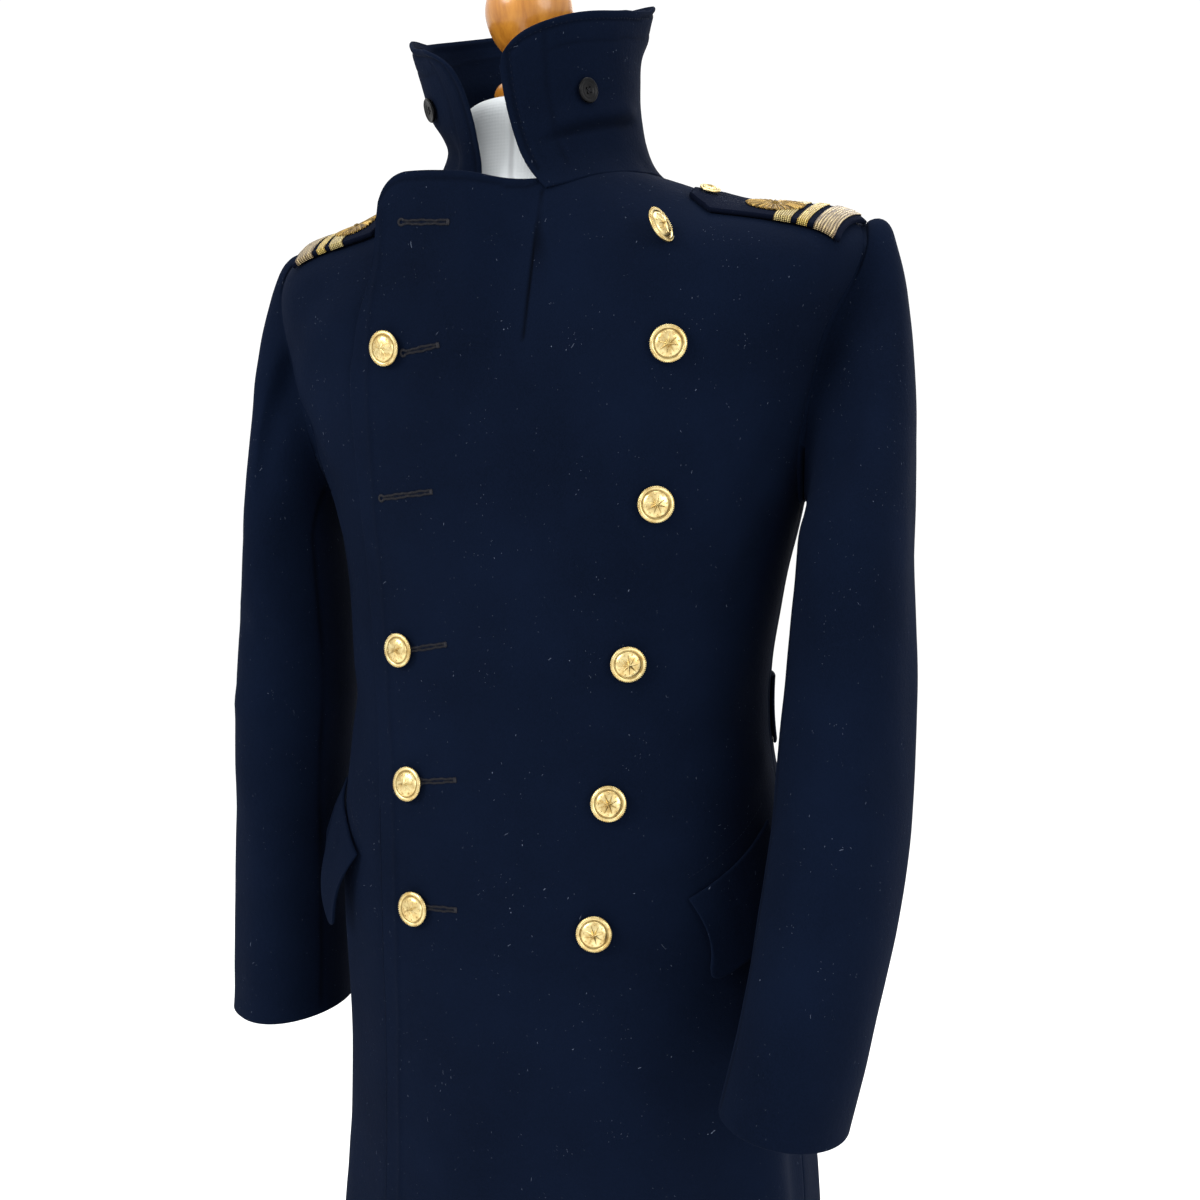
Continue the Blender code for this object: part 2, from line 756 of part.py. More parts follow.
def back_belt(left_rows, right_rows, cloth):
    columns = [BELT_END_COLUMN] + list(range(1, BACK_COLUMNS))
    rows = []
    for v in BELT_LEVELS:
        at = row_of(v)
        row = [between(left_rows, at, c) for c in columns]
        row.append(between(left_rows, at, BACK_COLUMNS))
        row += [between(right_rows, at, c) for c in reversed(columns)]
        rows.append([(p + n * PIECE_STEP, n) for p, n in row])
    return wall("back_belt", rows, cloth)


def shoulder_angle(y, v):
    """The angle near the shoulder seam where the body is y from it; y is negative to the front."""
    r = ring(v)
    depth = r["front"] if y < 0 else r["back"]
    lean = math.degrees(math.asin(signed_power(min(0.99, abs(y) / depth), r["power"] / 2.0)))
    return 90 - lean if y < 0 else 90 + lean


def shoulder_place(side, x, y):
    """The angle and level of the shoulder's surface at a place seen from above."""
    low, high = SHOULDER_TIP - 0.5, NECK - 0.05
    for _ in range(30):
        middle = (low + high) / 2
        if on_body(shoulder_angle(y, middle), middle).x > x:
            low = middle
        else:
            high = middle
    return side * shoulder_angle(y, low), low


def on_shoulder(side, x, y, out):
    degrees, v = shoulder_place(side, x, y)
    normal = body_normal(degrees, v)
    lift = front_lift(degrees) if side > 0 else 0.0
    return on_body(degrees, v) + normal * (lift + CLOTH / 2 + STRAP_LIE + out), normal


def shoulder_strap(name, side, cloth):
    outer, shoulder, tip = STRAP_LINES[side]
    rows = []
    for j in range(STRAP_ROWS + 1):
        if j <= STRAP_POINT_ROW:
            low, high, step = outer, shoulder, j / STRAP_POINT_ROW
        else:
            low, high, step = shoulder, tip, (j - STRAP_POINT_ROW) / (STRAP_ROWS - STRAP_POINT_ROW)
        x, y, half_width, slant = [a + (b - a) * step for a, b in zip(low, high)]
        row = []
        for k in range(STRAP_COLUMNS + 1):
            aside = 2 * k / STRAP_COLUMNS - 1
            place = (x + slant * aside, y + half_width * aside)
            row.append(on_shoulder(side, *place, STRAP_THICKNESS / 2))
        rows.append(row)
    return wall(name, rows, cloth, thickness=STRAP_THICKNESS)


# Buttons


def button(name, profile, radius, place, axis, finish, segments=BUTTON_SEGMENTS):
    """A turned button that lies just clear of the cloth under it."""
    sized = [(height * radius, across * radius) for height, across in profile]
    return lathe(name, sized, finish, segments, axis, place + axis * LIE_GAP)


def flopped_button(name, place, normal, gilt):
    """A coat button turned over on its thread until its rim rests on the cloth."""
    axis = Vector(FLOP_AXIS).normalized()
    height, rim = DOMED_BUTTON[3]
    tilt = axis.angle(normal)
    lift = BUTTON_RADIUS * (rim * math.sin(tilt) - height * math.cos(tilt)) - FLOP_SINK
    sized = [(up * BUTTON_RADIUS, across * BUTTON_RADIUS) for up, across in DOMED_BUTTON]
    return lathe(name, sized, gilt, BUTTON_SEGMENTS, axis, place + normal * lift)


def overlap_column(x, v):
    """The outer front's column that is x from the middle plane."""
    edge = -ring(v)["edge"]
    if x < COLLAR_END_LEFT:
        return (x - edge) / (COLLAR_END_LEFT - edge) * OVERLAP_COLUMNS
    start, side = angle_at(COLLAR_END_LEFT, v), front_side(1, v)
    return OVERLAP_COLUMNS + (angle_at(x, v) - start) / (side - start) * FRONT_COLUMNS


def front_buttons(rows, gilt):
    for number, values in enumerate(BUTTON_ROWS, start=1):
        sizes = dict(zip(BUTTON_COLUMNS, values))
        for side_name, side in (("left", 1), ("right", -1)):
            x = side * sizes[side_name]
            if x:
                column = overlap_column(x, level_of(sizes["z"], x))
                row = row_at_height(rows, column, sizes["z"])
                point, normal = between(rows, row, column)
                place = point + normal * CLOTH / 2
                name = f"button_{side_name}_{number}"
                if (side_name, number) == FLOPPED_BUTTON:
                    flopped_button(name, place, normal, gilt)
                else:
                    button(name, DOMED_BUTTON, BUTTON_RADIUS, place, normal, gilt)


def collar_button(name, share, rise, horn):
    step = 0.01
    point = collar_point(share, rise)
    round_it = collar_point(share + step, rise) - collar_point(share - step, rise)
    up_it = collar_point(share, rise + step) - collar_point(share, rise - step)
    axis = round_it.cross(up_it).normalized()
    place = point + axis * CLOTH / 2
    return button(name, DISHED_BUTTON, COLLAR_BUTTON_RADIUS, place, axis, horn)


def strap_button(name, side, gilt):
    place, normal = on_shoulder(side, *STRAP_BUTTON_PLACES[side], STRAP_THICKNESS)
    return button(name, DOMED_BUTTON, STRAP_BUTTON_RADIUS, place, normal, gilt, STRAP_BUTTON_SEGMENTS)


# Dress form


def torso_slack(v):
    for (low, a), (high, b) in zip(TORSO_SLACK, TORSO_SLACK[1:]):
        if v <= high:
            return a + (b - a) * ease(low, high, v)
    return TORSO_SLACK[-1][1]


def form_torso(canvas):
    bm = bmesh.new()
    rings = []
    angles = [360.0 * k / TORSO_SEGMENTS for k in range(TORSO_SEGMENTS)]
    for v in TORSO_LEVELS:
        row = []
        for degrees in angles:
            point = on_body(degrees, v) - body_normal(degrees, v) * torso_slack(v)
            if v == TORSO_LEVELS[0]:
                point.z = TORSO_BOTTOM
            row.append(bm.verts.new(point))
        rings.append(row)
    for z_front, z_back, radius in NECK_RINGS:
        row = []
        for degrees in angles:
            a = math.radians(degrees)
            z = (z_front + z_back) / 2 + (z_front - z_back) / 2 * math.cos(a)
            x = NECK_CENTRE[0] + radius * math.sin(a)
            y = NECK_CENTRE[1] - radius * math.cos(a)
            row.append(bm.verts.new((x, y, z)))
        rings.append(row)
    for low, high in zip(rings, rings[1:]):
        for k in range(TORSO_SEGMENTS):
            d = (k + 1) % TORSO_SEGMENTS
            bm.faces.new((low[k], low[d], high[d], high[k]))
    bm.faces.new(list(reversed(rings[0])))
    bm.faces.new(rings[-1])
    return add_object("form_torso", bm, canvas)


def form_finial(wood):
    place = Vector((NECK_CENTRE[0], NECK_CENTRE[1], NECK_RINGS[-1][0]))
    return lathe("form_finial", FINIAL_PROFILE, wood, FINIAL_SEGMENTS, place=place)


def form_stand(wood):
    profile = STAND_PROFILE + ((TORSO_BOTTOM - LIE_GAP, POLE_RADIUS),)
    return lathe("form_stand", profile, wood, STAND_SEGMENTS)


def main():
    clear_scene()
    cloth = material("navy_melton")
    gilt = material("gilt_brass")
    horn = material("dark_horn")
    canvas = material("white_canvas")
    wood = material("honey_varnish")

    left, right = front_left_rows(), front_right_rows()
    back_left, back_right = back_rows(1), back_rows(-1)
    wall("front_left", left, cloth)
    wall("front_right", right, cloth)
    wall("back_left", back_left, cloth)
    wall("back_right", back_right, cloth)
    sleeve("sleeve_left", 1, SLEEVE_LEFT, cloth)
    sleeve("sleeve_right", -1, SLEEVE_RIGHT, cloth)
    collar(cloth)
    back_belt(back_left, back_right, cloth)
    pocket_flap("left", left, cloth)
    pocket_flap("right", right, cloth)
    shoulder_strap("shoulder_strap_left", 1, cloth)
    shoulder_strap("shoulder_strap_right", -1, cloth)
    front_buttons(left, gilt)
    for name, share, rise in COLLAR_BUTTONS:
        collar_button(name, share, rise, horn)
    strap_button("strap_button_left", 1, gilt)
    strap_button("strap_button_right", -1, gilt)
    form_torso(canvas)
    form_finial(wood)
    form_stand(wood)


main()
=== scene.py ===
# Double-breasted military greatcoat on a limbless dress form, dressed for the final render.
# Metres, +Z up. The coat faces -Y and the wearer's left is +X.
import math
from functools import lru_cache

import bmesh
import bpy
import numpy as np
from mathutils import Matrix, Vector, noise
from mathutils.bvhtree import BVHTree


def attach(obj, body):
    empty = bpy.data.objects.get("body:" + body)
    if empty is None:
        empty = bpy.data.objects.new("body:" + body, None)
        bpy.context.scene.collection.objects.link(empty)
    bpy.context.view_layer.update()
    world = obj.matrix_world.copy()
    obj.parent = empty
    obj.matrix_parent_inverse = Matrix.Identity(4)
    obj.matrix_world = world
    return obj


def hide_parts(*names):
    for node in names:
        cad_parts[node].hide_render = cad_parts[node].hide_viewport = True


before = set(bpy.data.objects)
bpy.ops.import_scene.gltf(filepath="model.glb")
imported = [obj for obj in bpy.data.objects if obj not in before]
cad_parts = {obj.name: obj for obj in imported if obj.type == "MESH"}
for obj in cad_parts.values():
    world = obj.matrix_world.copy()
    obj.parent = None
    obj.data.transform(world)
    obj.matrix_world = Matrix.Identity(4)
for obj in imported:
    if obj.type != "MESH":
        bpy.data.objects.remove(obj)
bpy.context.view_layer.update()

bpy.ops.object.select_all(action="DESELECT")
print("stage: frame loaded")


# Camera, floor and lights

view = {
    "turn": 18.7,  # degrees the camera stands round to the wearer's left
    "distance": 0.942,
    "height": 1.234,
    "yaw": -1.65,
    "down": 5.55,
    "roll": 1.05,
    "focal": 1177.0,  # pixels, in the photograph's frame of 1200
    "frameSize": 1200.0,
}


def addCamera():
    turn = math.radians(view["turn"])
    aim = turn + math.radians(view["yaw"])
    down = math.radians(view["down"])
    roll = math.radians(view["roll"])
    place = Vector((math.sin(turn) * view["distance"], -math.cos(turn) * view["distance"], view["height"]))
    level = Vector((-math.sin(aim), math.cos(aim), 0)) * math.cos(down)
    forward = level + Vector((0, 0, -math.sin(down)))
    right = Vector((math.cos(aim), math.sin(aim), 0))
    up = right.cross(forward)
    rightTilted = right * math.cos(roll) + up * math.sin(roll)
    upTilted = -right * math.sin(roll) + up * math.cos(roll)
    data = bpy.data.cameras.new("photoView")
    data.sensor_width = 36.0
    data.lens = 36.0 * view["focal"] / view["frameSize"]
    camera = bpy.data.objects.new("photoView", data)
    bpy.context.scene.collection.objects.link(camera)
    axes = Matrix((rightTilted, upTilted, -forward)).transposed()
    camera.matrix_world = Matrix.Translation(place) @ axes.to_4x4()
    bpy.context.scene.camera = camera


def areaLight(name, place, target, size, watts):
    data = bpy.data.lights.new(name, "AREA")
    data.shape = "DISK"
    data.size = size
    data.energy = watts
    lamp = bpy.data.objects.new(name, data)
    bpy.context.scene.collection.objects.link(lamp)
    lamp.location = place
    lamp.rotation_euler = (Vector(target) - Vector(place)).to_track_quat("-Z", "Y").to_euler()


def linear(hexColour):  # sRGB hex to the linear colour that a shader reads
    channels = [int(hexColour[k:k + 2], 16) / 255 for k in (1, 3, 5)]
    return (*[c / 12.92 if c <= 0.04045 else ((c + 0.055) / 1.055) ** 2.4 for c in channels], 1.0)


def addNode(tree, kind, links=None, **settings):
    # settings name a node's own property or, where there is none, one of its sockets
    made = tree.nodes.new(kind)
    for key, value in settings.items():
        if key in made.bl_rna.properties:
            setattr(made, key, value)
        else:
            socket = int(key[2:]) if key.startswith("in") and key[2:].isdigit() else key
            made.inputs[socket].default_value = value
    for key, source in (links or {}).items():
        tree.links.new(source, made.inputs[key])
    return made


def newMaterial(name):
    made = bpy.data.materials.new(name)
    made.use_nodes = True
    tree = made.node_tree
    return made, tree, tree.nodes["Principled BSDF"]


addCamera()
world = bpy.data.worlds.new("studio")
bpy.context.scene.world = world
world.use_nodes = True
world.node_tree.nodes["Background"].inputs["Color"].default_value = linear("#FFFFFF")
world.node_tree.nodes["Background"].inputs["Strength"].default_value = 1.08
areaLight("keyLight", (-1.9, -2.3, 2.7), (0.0, 0.0, 1.2), 1.6, 62)
areaLight("fillLight", (2.4, -1.7, 1.9), (0.0, 0.0, 1.1), 1.8, 34)
areaLight("topLight", (0.2, 0.3, 3.3), (0.0, 0.0, 1.2), 1.6, 30)
areaLight("backLight", (0.4, 2.6, 2.2), (0.0, 0.0, 1.1), 1.8, 30)
bpy.context.scene.view_settings.view_transform = "Standard"

bpy.ops.mesh.primitive_plane_add(size=90.0, location=(0, 0, 0))
floor = bpy.context.object
floor.name = "floor"
floorPaint, floorTree, floorShader = newMaterial("matt floor paint")
floorShader.inputs["Base Color"].default_value = linear("#FAFAF9")
floorShader.inputs["Roughness"].default_value = 0.8
floor.data.materials.append(floorPaint)
floor.select_set(False)
print("stage: camera and studio")


# Cloth and sewing
clothThickness = 0.0024
layerStep = 0.0036
pieceStep = 0.0032
lieGap = 0.0006

# Buttons; a profile's heights and radii are shares of the button's radius
buttonRadius = 0.0127
collarButtonRadius = 0.0085
strapButtonRadius = 0.0075

# One coat button has turned over on its loose thread; the way it faces
floppedButton = ("left", 1)
flopAxis = (0.88, -0.30, 0.42)
flopSink = 0.0003
collarButtons = (  # name, share of the way round the collar, share of its height
    ("collar_button_left", 0.075, 0.50),
    ("collar_button_right", 0.900, 0.50),
)

# Rings of the body, from the hem up to the neck seam. shift moves the ring sideways,
# power is the superellipse's, and edge is how far the overlap reaches past the centre.
bodyColumns = (
    "zFront", "zSide", "zBack", "half", "front", "back", "power", "shift", "edge",
)
bodyRings = (
    (0.350, 0.350, 0.350, 0.214, 0.170, 0.205, 2.05, 0.026, 0.090),  # hem
    (0.560, 0.560, 0.560, 0.200, 0.158, 0.190, 2.05, 0.023, 0.092),  # knee
    (0.760, 0.760, 0.760, 0.184, 0.144, 0.168, 2.10, 0.018, 0.096),  # thigh
    (0.930, 0.930, 0.930, 0.184, 0.132, 0.150, 2.20, 0.004, 0.102),  # hip
    (1.060, 1.060, 1.060, 0.169, 0.121, 0.112, 2.20, -0.004, 0.113),  # waist
    (1.150, 1.150, 1.150, 0.175, 0.120, 0.118, 2.20, -0.004, 0.121),  # ribs
    (1.225, 1.225, 1.225, 0.190, 0.120, 0.127, 2.30, -0.005, 0.128),  # armpit
    (1.305, 1.326, 1.320, 0.214, 0.117, 0.130, 2.40, -0.014, 0.133),  # middle of the armhole
    (1.373, 1.421, 1.411, 0.225, 0.109, 0.115, 3.10, -0.001, 0.128),  # shoulder tip
    (1.413, 1.442, 1.450, 0.150, 0.103, 0.085, 2.40, -0.008, 0.114),  # middle of the shoulder
    (1.443, 1.466, 1.482, 0.081, 0.098, 0.062, 2.00, -0.017, 0.107),  # neck seam
)
armpitLevel, shoulderLevel, neckLevel = 6, 8, 10

# The wearer's right shoulder hangs a little lower than the left
rightDrop = 0.006
rightDropLevels = (6.5, 8.0, 10.0)

# How steeply the shoulder falls to the front and the back: 2 is a plain ellipse's
shoulderFall = 1.3

# Soft flutes of the skirt: their depth at the hem, the level where they end, how many
# would go all the way round, and the angles from centre front between which they grow
skirtWave = 0.008
skirtWaveTop = 3.0
skirtWaves = 6
skirtWaveAngles = (35.0, 80.0)

# Rows of points that every body panel shares, so that seams meet corner to corner
skirtLevels = (0.0, 0.8, 1.6, 2.3, 2.8, 3.3, 3.8, 4.3, 5.0, 5.6)
shoulderLevels = (8.4, 8.8, 9.2, 9.6, 10.0)
frontColumns = 8
backColumns = 9

# Armhole, in degrees round the ring to the front and the back of the side line
armholeFront = {1: 13.0, -1: 23.0}
armholeBack = 22.0
armholeRoundness = 0.55
armholeScoop = 0.5
armholeHigh = 0.34
armholeHighFrom = 7.0
armholeSteps = 10
sleeveSeam = 0.86
armholeEnd = 0.036

# Front closure: where the collar's ends leave the neck seam, and the hidden underlap
collarEndLeft = 0.011
collarEndRight = -0.034
underlapReach = 0.092
underlapTop = 9.2
liftAngles = (40.0, 75.0)

# The lapel stands free in front of the wearer's right shoulder
lapelStart = 6.8
lapelBlend = 0.9
lapelTop = 1.451
lapelCorner = 0.025
lapelLean = 0.02
lapelDip = 0.0055
lapelDipFrom = -0.085
lapelFree = 0.050

# Height of each row of gilt buttons, and how far its two buttons stand from the centre
buttonRows = (
    (1.403, 0.0955, 0.0),
    (1.330, 0.106, 0.099),
    (1.222, 0.099, 0.0),
    (1.111, 0.082, 0.088),
    (1.013, 0.073, 0.077),
    (0.923, 0.068, 0.068),
)

# Sleeves, from below the armpit to the cuff: the centre line and the half sizes of the tube
sleeveColumns = ("z", "x", "y", "halfAcross", "halfAlong")
sleeveLeft = (
    (1.190, 0.230, -0.036, 0.040, 0.072),
    (1.090, 0.230, -0.050, 0.044, 0.071),
    (0.990, 0.229, -0.084, 0.045, 0.069),
    (0.895, 0.220, -0.128, 0.042, 0.066),
    (0.826, 0.208, -0.155, 0.041, 0.063),
)
sleeveRight = (
    (1.190, -0.229, -0.018, 0.030, 0.071),
    (1.090, -0.234, -0.012, 0.041, 0.070),
    (0.990, -0.242, -0.006, 0.042, 0.068),
    (0.888, -0.246, 0.000, 0.043, 0.066),
    (0.778, -0.246, -0.004, 0.045, 0.064),
)
headOut = {1: 0.42, -1: 0.36}
headDown = 0.38
headLift = 0.85
cuffLevel = 0.5
cuffLevelFrom = 0.6
underarmClear = 0.0034

# Collar, turned up: its height and flare round the neck, from the left end to the right end
collarSizes = ("height", "flare", "pinch")
collarRound = (
    (0.097, 0.006, 0.002),  # left end
    (0.109, -0.003, 0.008),
    (0.127, 0.003, 0.014),
    (0.125, 0.010, 0.010),  # centre back
    (0.118, 0.017, 0.003),
    (0.103, 0.024, 0.000),
    (0.086, 0.028, 0.000),  # right end
)
collarLean = 0.12
collarPointLeft = 0.026
collarPointRight = -0.028
collarEndShare = 0.13
collarLength = 0.42
collarCorner = 0.022
collarCornerDrop = 0.16

# Pocket flaps: the panel columns and the heights of the slanted seam's two ends
flapFront = (3.5, 0.947)
flapRear = (6.5, 0.990)
flapDrop = 0.062
flapSkew = 0.35
flapStandOff = {"left": 0.006, "right": 0.016}

# Half belt across the back waist, between two rows of the back
beltLevels = (3.8, 4.05, 4.3)
beltEndColumn = 0.3

# Shoulder straps, seen from above: x from the middle plane, y, half the width and how far
# the row slants. Keyed like the sides: 1 is the wearer's left and -1 the right.
strapButtonPlaces = {1: (0.117, -0.047), -1: (0.109, -0.052)}
strapLines = {  # x, y, half width, slant: of the outer end, where the point begins, the tip
    1: (
        (0.2160, -0.0378, 0.0245, 0.0062),
        (0.125, -0.053, 0.0235, 0.000),
        (0.106, -0.054, 0.0070, 0.000),
    ),
    -1: (
        (0.2045, -0.0436, 0.0245, 0.0045),
        (0.116, -0.055, 0.0235, 0.000),
        (0.098, -0.056, 0.0070, 0.000),
    ),
}
strapThickness = 0.0036
strapLie = 0.0016
strapRows = 8
strapPointRow = 6

# Dress form: torso a little inside the coat, neck and turned finial
torsoBottom = 0.860
torsoLevels = (2.6, 3.2, 3.8, 4.4, 5.2, 6.0, 6.6, 7.2, 7.7, 8.0, 8.4, 8.8, 9.2, 9.6)
torsoSlack = (
    (2.6, 0.030),
    (4.0, 0.014),
    (6.0, 0.014),
    (7.2, 0.010),
    (8.0, 0.0028),
    (9.2, 0.0028),
    (9.7, 0.0060),
)
neckCentre = (-0.024, -0.034)
neckRings = (  # front height, back height, radius
    (1.452, 1.486, 0.053),
    (1.478, 1.498, 0.050),
    (1.500, 1.506, 0.050),
    (1.511, 1.512, 0.042),
    (1.515, 1.515, 0.026),
)
finialProfile = (  # height above the neck's cap, radius
    (0.0004, 0.020),
    (0.0030, 0.0245),
    (0.0080, 0.0260),
    (0.0130, 0.0240),
    (0.0180, 0.0180),
    (0.0260, 0.0150),
    (0.0360, 0.0165),
    (0.0440, 0.0235),
    (0.0540, 0.0300),
    (0.0660, 0.0335),
    (0.0780, 0.0320),
    (0.0890, 0.0260),
    (0.0970, 0.0160),
    (0.1000, 0.0050),
)
poleRadius = 0.0125


def smoothBetween(values, at):  # catmull-Rom through equally spaced values
    last = len(values) - 1
    k = max(0, min(int(at), last - 1))
    t = at - k
    p1, p2 = values[k], values[k + 1]
    p0 = values[k - 1] if k > 0 else 2 * p1 - p2
    p3 = values[k + 2] if k + 2 <= last else 2 * p2 - p1
    m1, m2 = (p2 - p0) / 2, (p3 - p1) / 2
    return (
        (2 * t**3 - 3 * t**2 + 1) * p1
        + (t**3 - 2 * t**2 + t) * m1
        + (3 * t**2 - 2 * t**3) * p2
        + (t**3 - t**2) * m2
    )


def ease(low, high, value):
    t = min(1.0, max(0.0, (value - low) / (high - low)))
    return t * t * (3 - 2 * t)


def signedPower(value, power):
    return math.copysign(abs(value) ** power, value)


def tableAt(names, rows, at):  # the named sizes of a table at a place between its rows
    return {name: smoothBetween(column, at) for name, column in zip(names, zip(*rows))}


# The body's surface


@lru_cache(maxsize=None)
def ring(v):
    return tableAt(bodyColumns, bodyRings, v)


def skirtFlute(degrees, v):  # soft flutes that grow from the hip to the hem, at the sides and back
    depth = skirtWave * (1 - ease(0.0, skirtWaveTop, v)) * ease(*skirtWaveAngles, abs(degrees))
    return depth * math.cos(math.radians(skirtWaves * degrees))


@lru_cache(maxsize=None)
# a point of the coat's surface: 0 is centre front, 90 the wearer's left, 180 the back
def onBodyAt(degrees, v):
    r = ring(v)
    a = math.radians(degrees)
    power = 2.0 / r["power"]
    across = signedPower(math.sin(a), power)
    along = signedPower(math.cos(a), power)
    out = 1 + skirtFlute((degrees + 180) % 360 - 180, v) / r["half"]
    end = "front" if along > 0 else "back"
    fall = 2 + (shoulderFall - 2) * ease(7.0, 8.0, v) * (1 - ease(9.0, 10.0, v))
    z = r["zSide"] + (r["z" + end.title()] - r["zSide"]) * abs(along) ** fall
    if across < 0:
        low, full, top = rightDropLevels
        z -= rightDrop * ease(low, full, v) * (1 - ease(full, top, v)) * ease(0.0, 1.0, -across)
    return Vector((r["shift"] + r["half"] * across * out, -r[end] * along * out, z))


def onBody(degrees, v):
    return onBodyAt(degrees, v).copy()


def bodyNormal(degrees, v):
    roundIt = onBody(degrees + 0.05, v) - onBody(degrees - 0.05, v)
    upIt = onBody(degrees, v + 0.01) - onBody(degrees, v - 0.01)
    return roundIt.cross(upIt).normalized()


def angleAt(x, v):  # the angle round the front where the body is x from the middle plane
    r = ring(v)
    share = max(-0.999, min(0.999, (x - r["shift"]) / r["half"]))
    return math.degrees(math.asin(signedPower(share, r["power"] / 2.0)))


def levelOf(height, x=0.0):  # the level whose front surface, x from the middle plane, has this height
    low, high = 0.0, float(neckLevel)
    for _ in range(40):
        middle = (low + high) / 2
        if onBody(angleAt(x, middle), middle).z < height:
            low = middle
        else:
            high = middle
    return low


def armholeCut(v):  # 0 at the armpit and the shoulder tip, and about 1 between, more towards the armpit
    if not armpitLevel < v < shoulderLevel:
        return 0.0
    share = (v - armpitLevel) / (shoulderLevel - armpitLevel)
    cut = math.sin(math.pi * share) ** armholeRoundness * (1 + armholeScoop * (1 - 2 * share))
    if v > armholeHighFrom:
        high = (v - armholeHighFrom) / (shoulderLevel - armholeHighFrom)
        cut += armholeHigh * math.sin(math.pi * high) ** 0.6
    return cut


def armholeLevels():
    span = shoulderLevel - armpitLevel
    steps = range(armholeSteps + 1)
    return [armpitLevel + span * (1 - math.cos(math.pi * k / armholeSteps)) / 2 for k in steps]


def bodyLevels():
    return list(skirtLevels) + armholeLevels() + list(shoulderLevels)


def frontSide(side, v):
    return 90.0 - armholeFront[side] * armholeCut(v)


def backSide(v):
    return 90.0 + armholeBack * armholeCut(v)


# Fronts


def frontLift(degrees):  # the outer front lies one layer out over the other, and comes down to its side seam
    return layerStep * (1 - ease(*liftAngles, degrees))


def leftAtAngle(degrees, v):
    direction = bodyNormal(degrees, v)
    return onBody(degrees, v) + direction * frontLift(degrees), direction


def lapelAt(x, v):  # the free lapel, which rises straight from the chest instead of turning back to the neck
    start, direction = leftAtAngle(angleAt(x, lapelStart), lapelStart)
    fromEdge = max(0.0, x + ring(v)["edge"])
    inside = max(0.0, lapelCorner - fromEdge)
    fall = lapelCorner - math.sqrt(lapelCorner**2 - inside**2)
    top = lapelTop - fall - lapelDip * ease(lapelDipFrom, 0.0, x)
    rise = (v - lapelStart) / (neckLevel - lapelStart)
    z = start.z + (top - start.z) * rise
    upright = Vector((direction.x, direction.y, 0.0)).normalized()
    y = start.y - lapelLean * (z - start.z)
    return Vector((x, y, z)), direction.lerp(upright, ease(0.0, 0.3, rise)).normalized()


def leftAt(x, v):  # the outer front, x from the middle plane
    point, direction = leftAtAngle(angleAt(x, v), v)
    across = ease(collarEndLeft, collarEndLeft - lapelFree, x)
    free = across * ease(lapelStart, lapelStart + lapelBlend, v)
    if free > 0:
        freePoint, freeDirection = lapelAt(x, v)
        point = point.lerp(freePoint, free)
        direction = direction.lerp(freeDirection, free).normalized()
    return point, direction


def rightAtAngle(degrees, v):
    return onBody(degrees, v), bodyNormal(degrees, v)


def underlapLevel(x, v):  # past the collar's end the hidden top edge drops below the overlap's
    if v <= shoulderLevel:
        return v
    top = neckLevel + (underlapTop - neckLevel) * ease(collarEndRight, collarEndLeft, x)
    return shoulderLevel + (v - shoulderLevel) * (top - shoulderLevel) / (neckLevel - shoulderLevel)


# Sleeves


# the armhole's edge as (point, direction) from the shoulder tip, down the front and up the back
def armholeLoop(side):
    levels = armholeLevels()
    levels[0] += 2 * armholeEnd
    levels[-1] -= armholeEnd
    loop = []
    for v in reversed(levels):
        degrees = side * (frontSide(side, v) + sleeveSeam)
        if v in (levels[0], levels[-1]):
            degrees = side * 90.0
        loop.append((onBody(degrees, v), bodyNormal(degrees, v)))
    for v in levels[1:-1]:
        degrees = side * (backSide(v) - sleeveSeam)
        loop.append((onBody(degrees, v), bodyNormal(degrees, v)))
    return loop


# a point of the sleeve below the armpit; share runs down it and turn goes round from the outside
def sleeveTube(side, rows, share, turn):
    at = share * (len(rows) - 1)
    here = tableAt(sleeveColumns, rows, at)
    after = tableAt(sleeveColumns, rows, at + 0.05)
    centre = Vector((here["x"], here["y"], here["z"]))
    alongArm = (Vector((after["x"], after["y"], after["z"])) - centre).normalized()
    level = cuffLevel * ease(cuffLevelFrom, 1.0, share)
    alongArm = alongArm.lerp(Vector((0, 0, -1)), level).normalized()
    across = Vector((side, 0, 0))
    across = (across - alongArm * across.dot(alongArm)).normalized()
    forward = alongArm.cross(across) * side
    forward = forward if forward.y < 0 else -forward
    a = math.radians(turn)
    point = centre + across * here["halfAcross"] * math.cos(a)
    return point + forward * here["halfAlong"] * math.sin(a), alongArm


# w runs from 0 at the armhole to 1 below the armpit and on to 2 at the cuff
def sleevePoint(side, rows, loop, column, w):
    turn = 360.0 * column / len(loop)
    if w >= 1:
        return sleeveTube(side, rows, w - 1, turn)[0]
    start = loop[column % len(loop)][0]
    end, down = sleeveTube(side, rows, 0.0, turn)
    reach = (end - start).length
    top = max(0.0, math.cos(math.radians(turn)))
    under = ease(0.1, 0.8, -math.cos(math.radians(turn)))
    start = start + Vector((side * underarmClear * under, 0, 0))
    leave = Vector((side * headOut[side], 0, headLift * top**2 - headDown)) * reach
    arrive = down * reach
    return (
        start * (2 * w**3 - 3 * w**2 + 1)
        + leave * (w**3 - 2 * w**2 + w)
        + end * (3 * w**2 - 2 * w**3)
        + arrive * (w**3 - w**2)
    )


